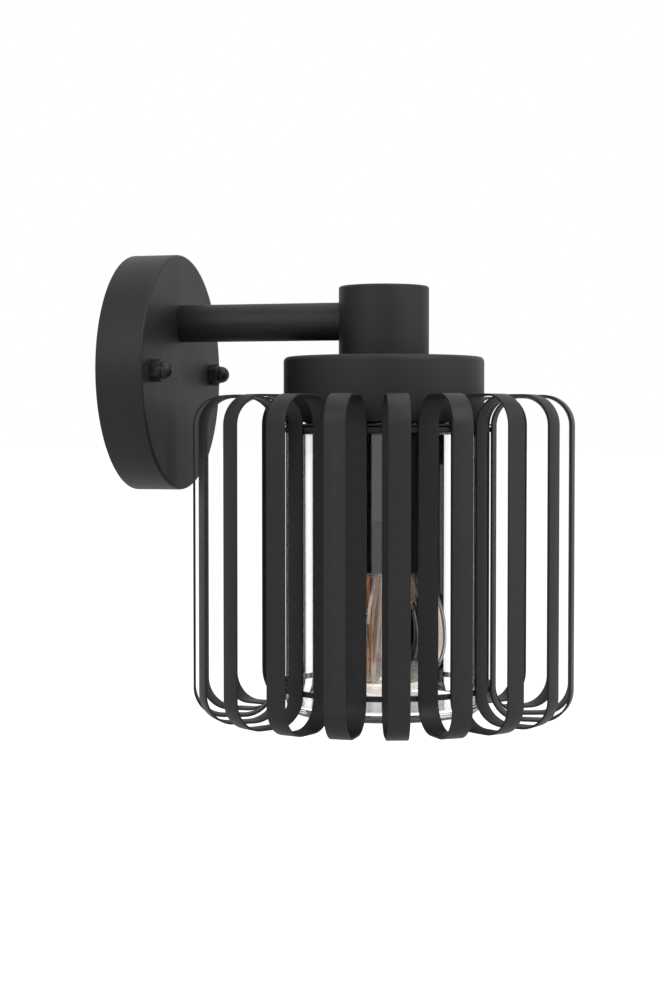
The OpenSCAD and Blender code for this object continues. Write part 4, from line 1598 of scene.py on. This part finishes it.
@dataclass
class Studio:
    """Camera, lamps, world and floor, in metres."""

    target: tuple[float, float, float] = (0.0, -0.130, -0.0269)
    eye: tuple[float, float, float] = (-0.9390, -0.3577, -0.0269)
    heading: tuple[float, float] = (0.9718, 0.2357)
    focal_px: float = 1933.06
    height_px: float = 1000.0
    sensor_mm: float = 36.0
    near_clip: float = 0.01
    # Tilt down, and turn left of the heading
    pitch: float = 2.217
    yaw: float = 1.531
    world_dim: float = 0.55
    floor_z: float = -0.42
    floor_side: float = 30.0
    floor_tones: tuple[float, float] = (0.80, 0.83)
    floor_glow: float = 0.62
    floor_shine: float = 0.15
    boxes: tuple[SoftBox, ...] = (
        SoftBox("key_box", (-0.7, -1.3, 1.0), 0.9, 13.0),
        SoftBox("fill_box", (-1.6, 0.5, 0.8), 1.1, 10.0),
        SoftBox("top_box", (0.1, -0.3, 1.5), 1.0, 5.0),
        SoftBox("side_box", (-0.1, -1.65, 0.05), 0.9, 3.4),
    )

    def build(self) -> None:
        """Set up the whole studio."""
        self.build_camera()
        self.build_world()
        self.build_floor()
        for box in self.boxes:
            self.build_box(box)
        bpy.context.scene.view_settings.view_transform = "Standard"

    def build_camera(self) -> None:
        """Place the camera where the photograph was taken from."""
        data = bpy.data.cameras.new("photo_camera")
        data.sensor_fit = "VERTICAL"
        data.sensor_height = self.sensor_mm
        data.lens = self.focal_px / self.height_px * data.sensor_height
        data.clip_start = self.near_clip
        camera = in_scene(data)
        east, north = self.heading
        ahead, right = Vector((east, north, 0)).normalized(), Vector((north, -east, 0)).normalized()
        yaw, pitch = math.radians(-self.yaw), math.radians(self.pitch)
        flat = ahead * math.cos(yaw) + right * math.sin(yaw)
        look = flat * math.cos(pitch) - Vector((0, 0, 1)) * math.sin(pitch)
        camera.location = self.eye
        camera.rotation_euler = look.to_track_quat("-Z", "Y").to_euler()
        bpy.context.scene.camera = camera

    def build_world(self) -> None:
        """Light everything evenly, and show a white background to the camera, gloss and glass."""
        world = bpy.data.worlds.new("studio_world")
        bpy.context.scene.world = world
        world.use_nodes = True
        sheet = Sheet(world.node_tree)
        seen = sheet.rays("Camera", "Glossy", "Transmission")
        strength = sheet.math("MULTIPLY_ADD", seen, 1 - self.world_dim, self.world_dim)
        sheet.fill(world.node_tree.nodes["Background"], Color=(1, 1, 1), Strength=strength)

    def build_floor(self) -> None:
        """Lay a pale floor that keeps the object's shadow and melts into the background."""
        mesh = bmesh.new()
        bmesh.ops.create_grid(mesh, x_segments=8, y_segments=8, size=self.floor_side)
        floor = in_scene(as_data("studio_floor", mesh))
        floor.location = (0, 0, self.floor_z)
        floor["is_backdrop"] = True
        pale = bpy.data.materials.new("pale_floor")
        pale.use_nodes = True
        sheet = Sheet(pale.node_tree)
        dark, light = ((tone, tone, tone) for tone in self.floor_tones)
        grain = sheet.group(coat_grain, Grain_Scale=30.0, Mottle_Scale=2.0)
        shown = sheet.math("MULTIPLY", sheet.rays("Camera", "Transmission"), self.floor_glow)
        mirrored = sheet.math("MULTIPLY", sheet.rays("Glossy"), self.floor_shine)
        sheet.fill(
            pale.node_tree.nodes["Principled BSDF"],
            Base_Color=sheet.blend(grain["Mottle"], dark, light),
            Roughness=0.9,
            Specular_IOR_Level=0.0,
            Emission_Color=(1, 1, 1),
            Emission_Strength=sheet.math("MAXIMUM", shown, mirrored),
        )
        floor.data.materials.append(pale)

    def build_box(self, box: SoftBox) -> None:
        """Hang one soft lamp that points at the object.

        Args:
            box: The lamp.
        """
        data = bpy.data.lights.new(box.name, "AREA")
        data.shape = "SQUARE"
        data.size = box.size
        data.energy = box.power
        lamp = in_scene(data)
        lamp.location = box.place
        lamp.rotation_euler = (Vector(self.target) - lamp.location).to_track_quat("-Z", "Y").to_euler()
        lamp.visible_camera = False
        LOG.info("lamp %s: %.1f W", box.name, box.power)


def write_sizes(cad: object) -> None:
    """Turn the CAD box and the dressed model's box into lists of numbers, which are not kept.

    Args:
        cad: The CAD box, from before any piece was made.
    """

    def plain(value: object) -> object:
        """Return a vector or a box as lists of numbers."""
        return [plain(v) for v in value] if hasattr(value, "__len__") else float(value)

    {"cad": plain(cad), "visual": plain(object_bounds())}


def main() -> None:
    """Build the sub-assemblies in order, then the studio round them."""
    logging.basicConfig(level=logging.INFO, format="%(name)s: %(message)s")
    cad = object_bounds()
    Studio().build()
    bench = Bench()
    WallPlate(bench).build()
    Arm(bench).build()
    canister = Canister(bench)
    canister.build()
    Lampholder(bench).build()
    Cage(bench, canister.axis).build()
    Jar(bench, canister.axis).build()
    Lamp(bench, canister.axis).build()
    Wiring(bench).build()
    LOG.info("%d pieces made, %d CAD nodes dressed", bench.made, bench.dressed)
    write_sizes(cad)


if __name__ == "__main__":
    main()
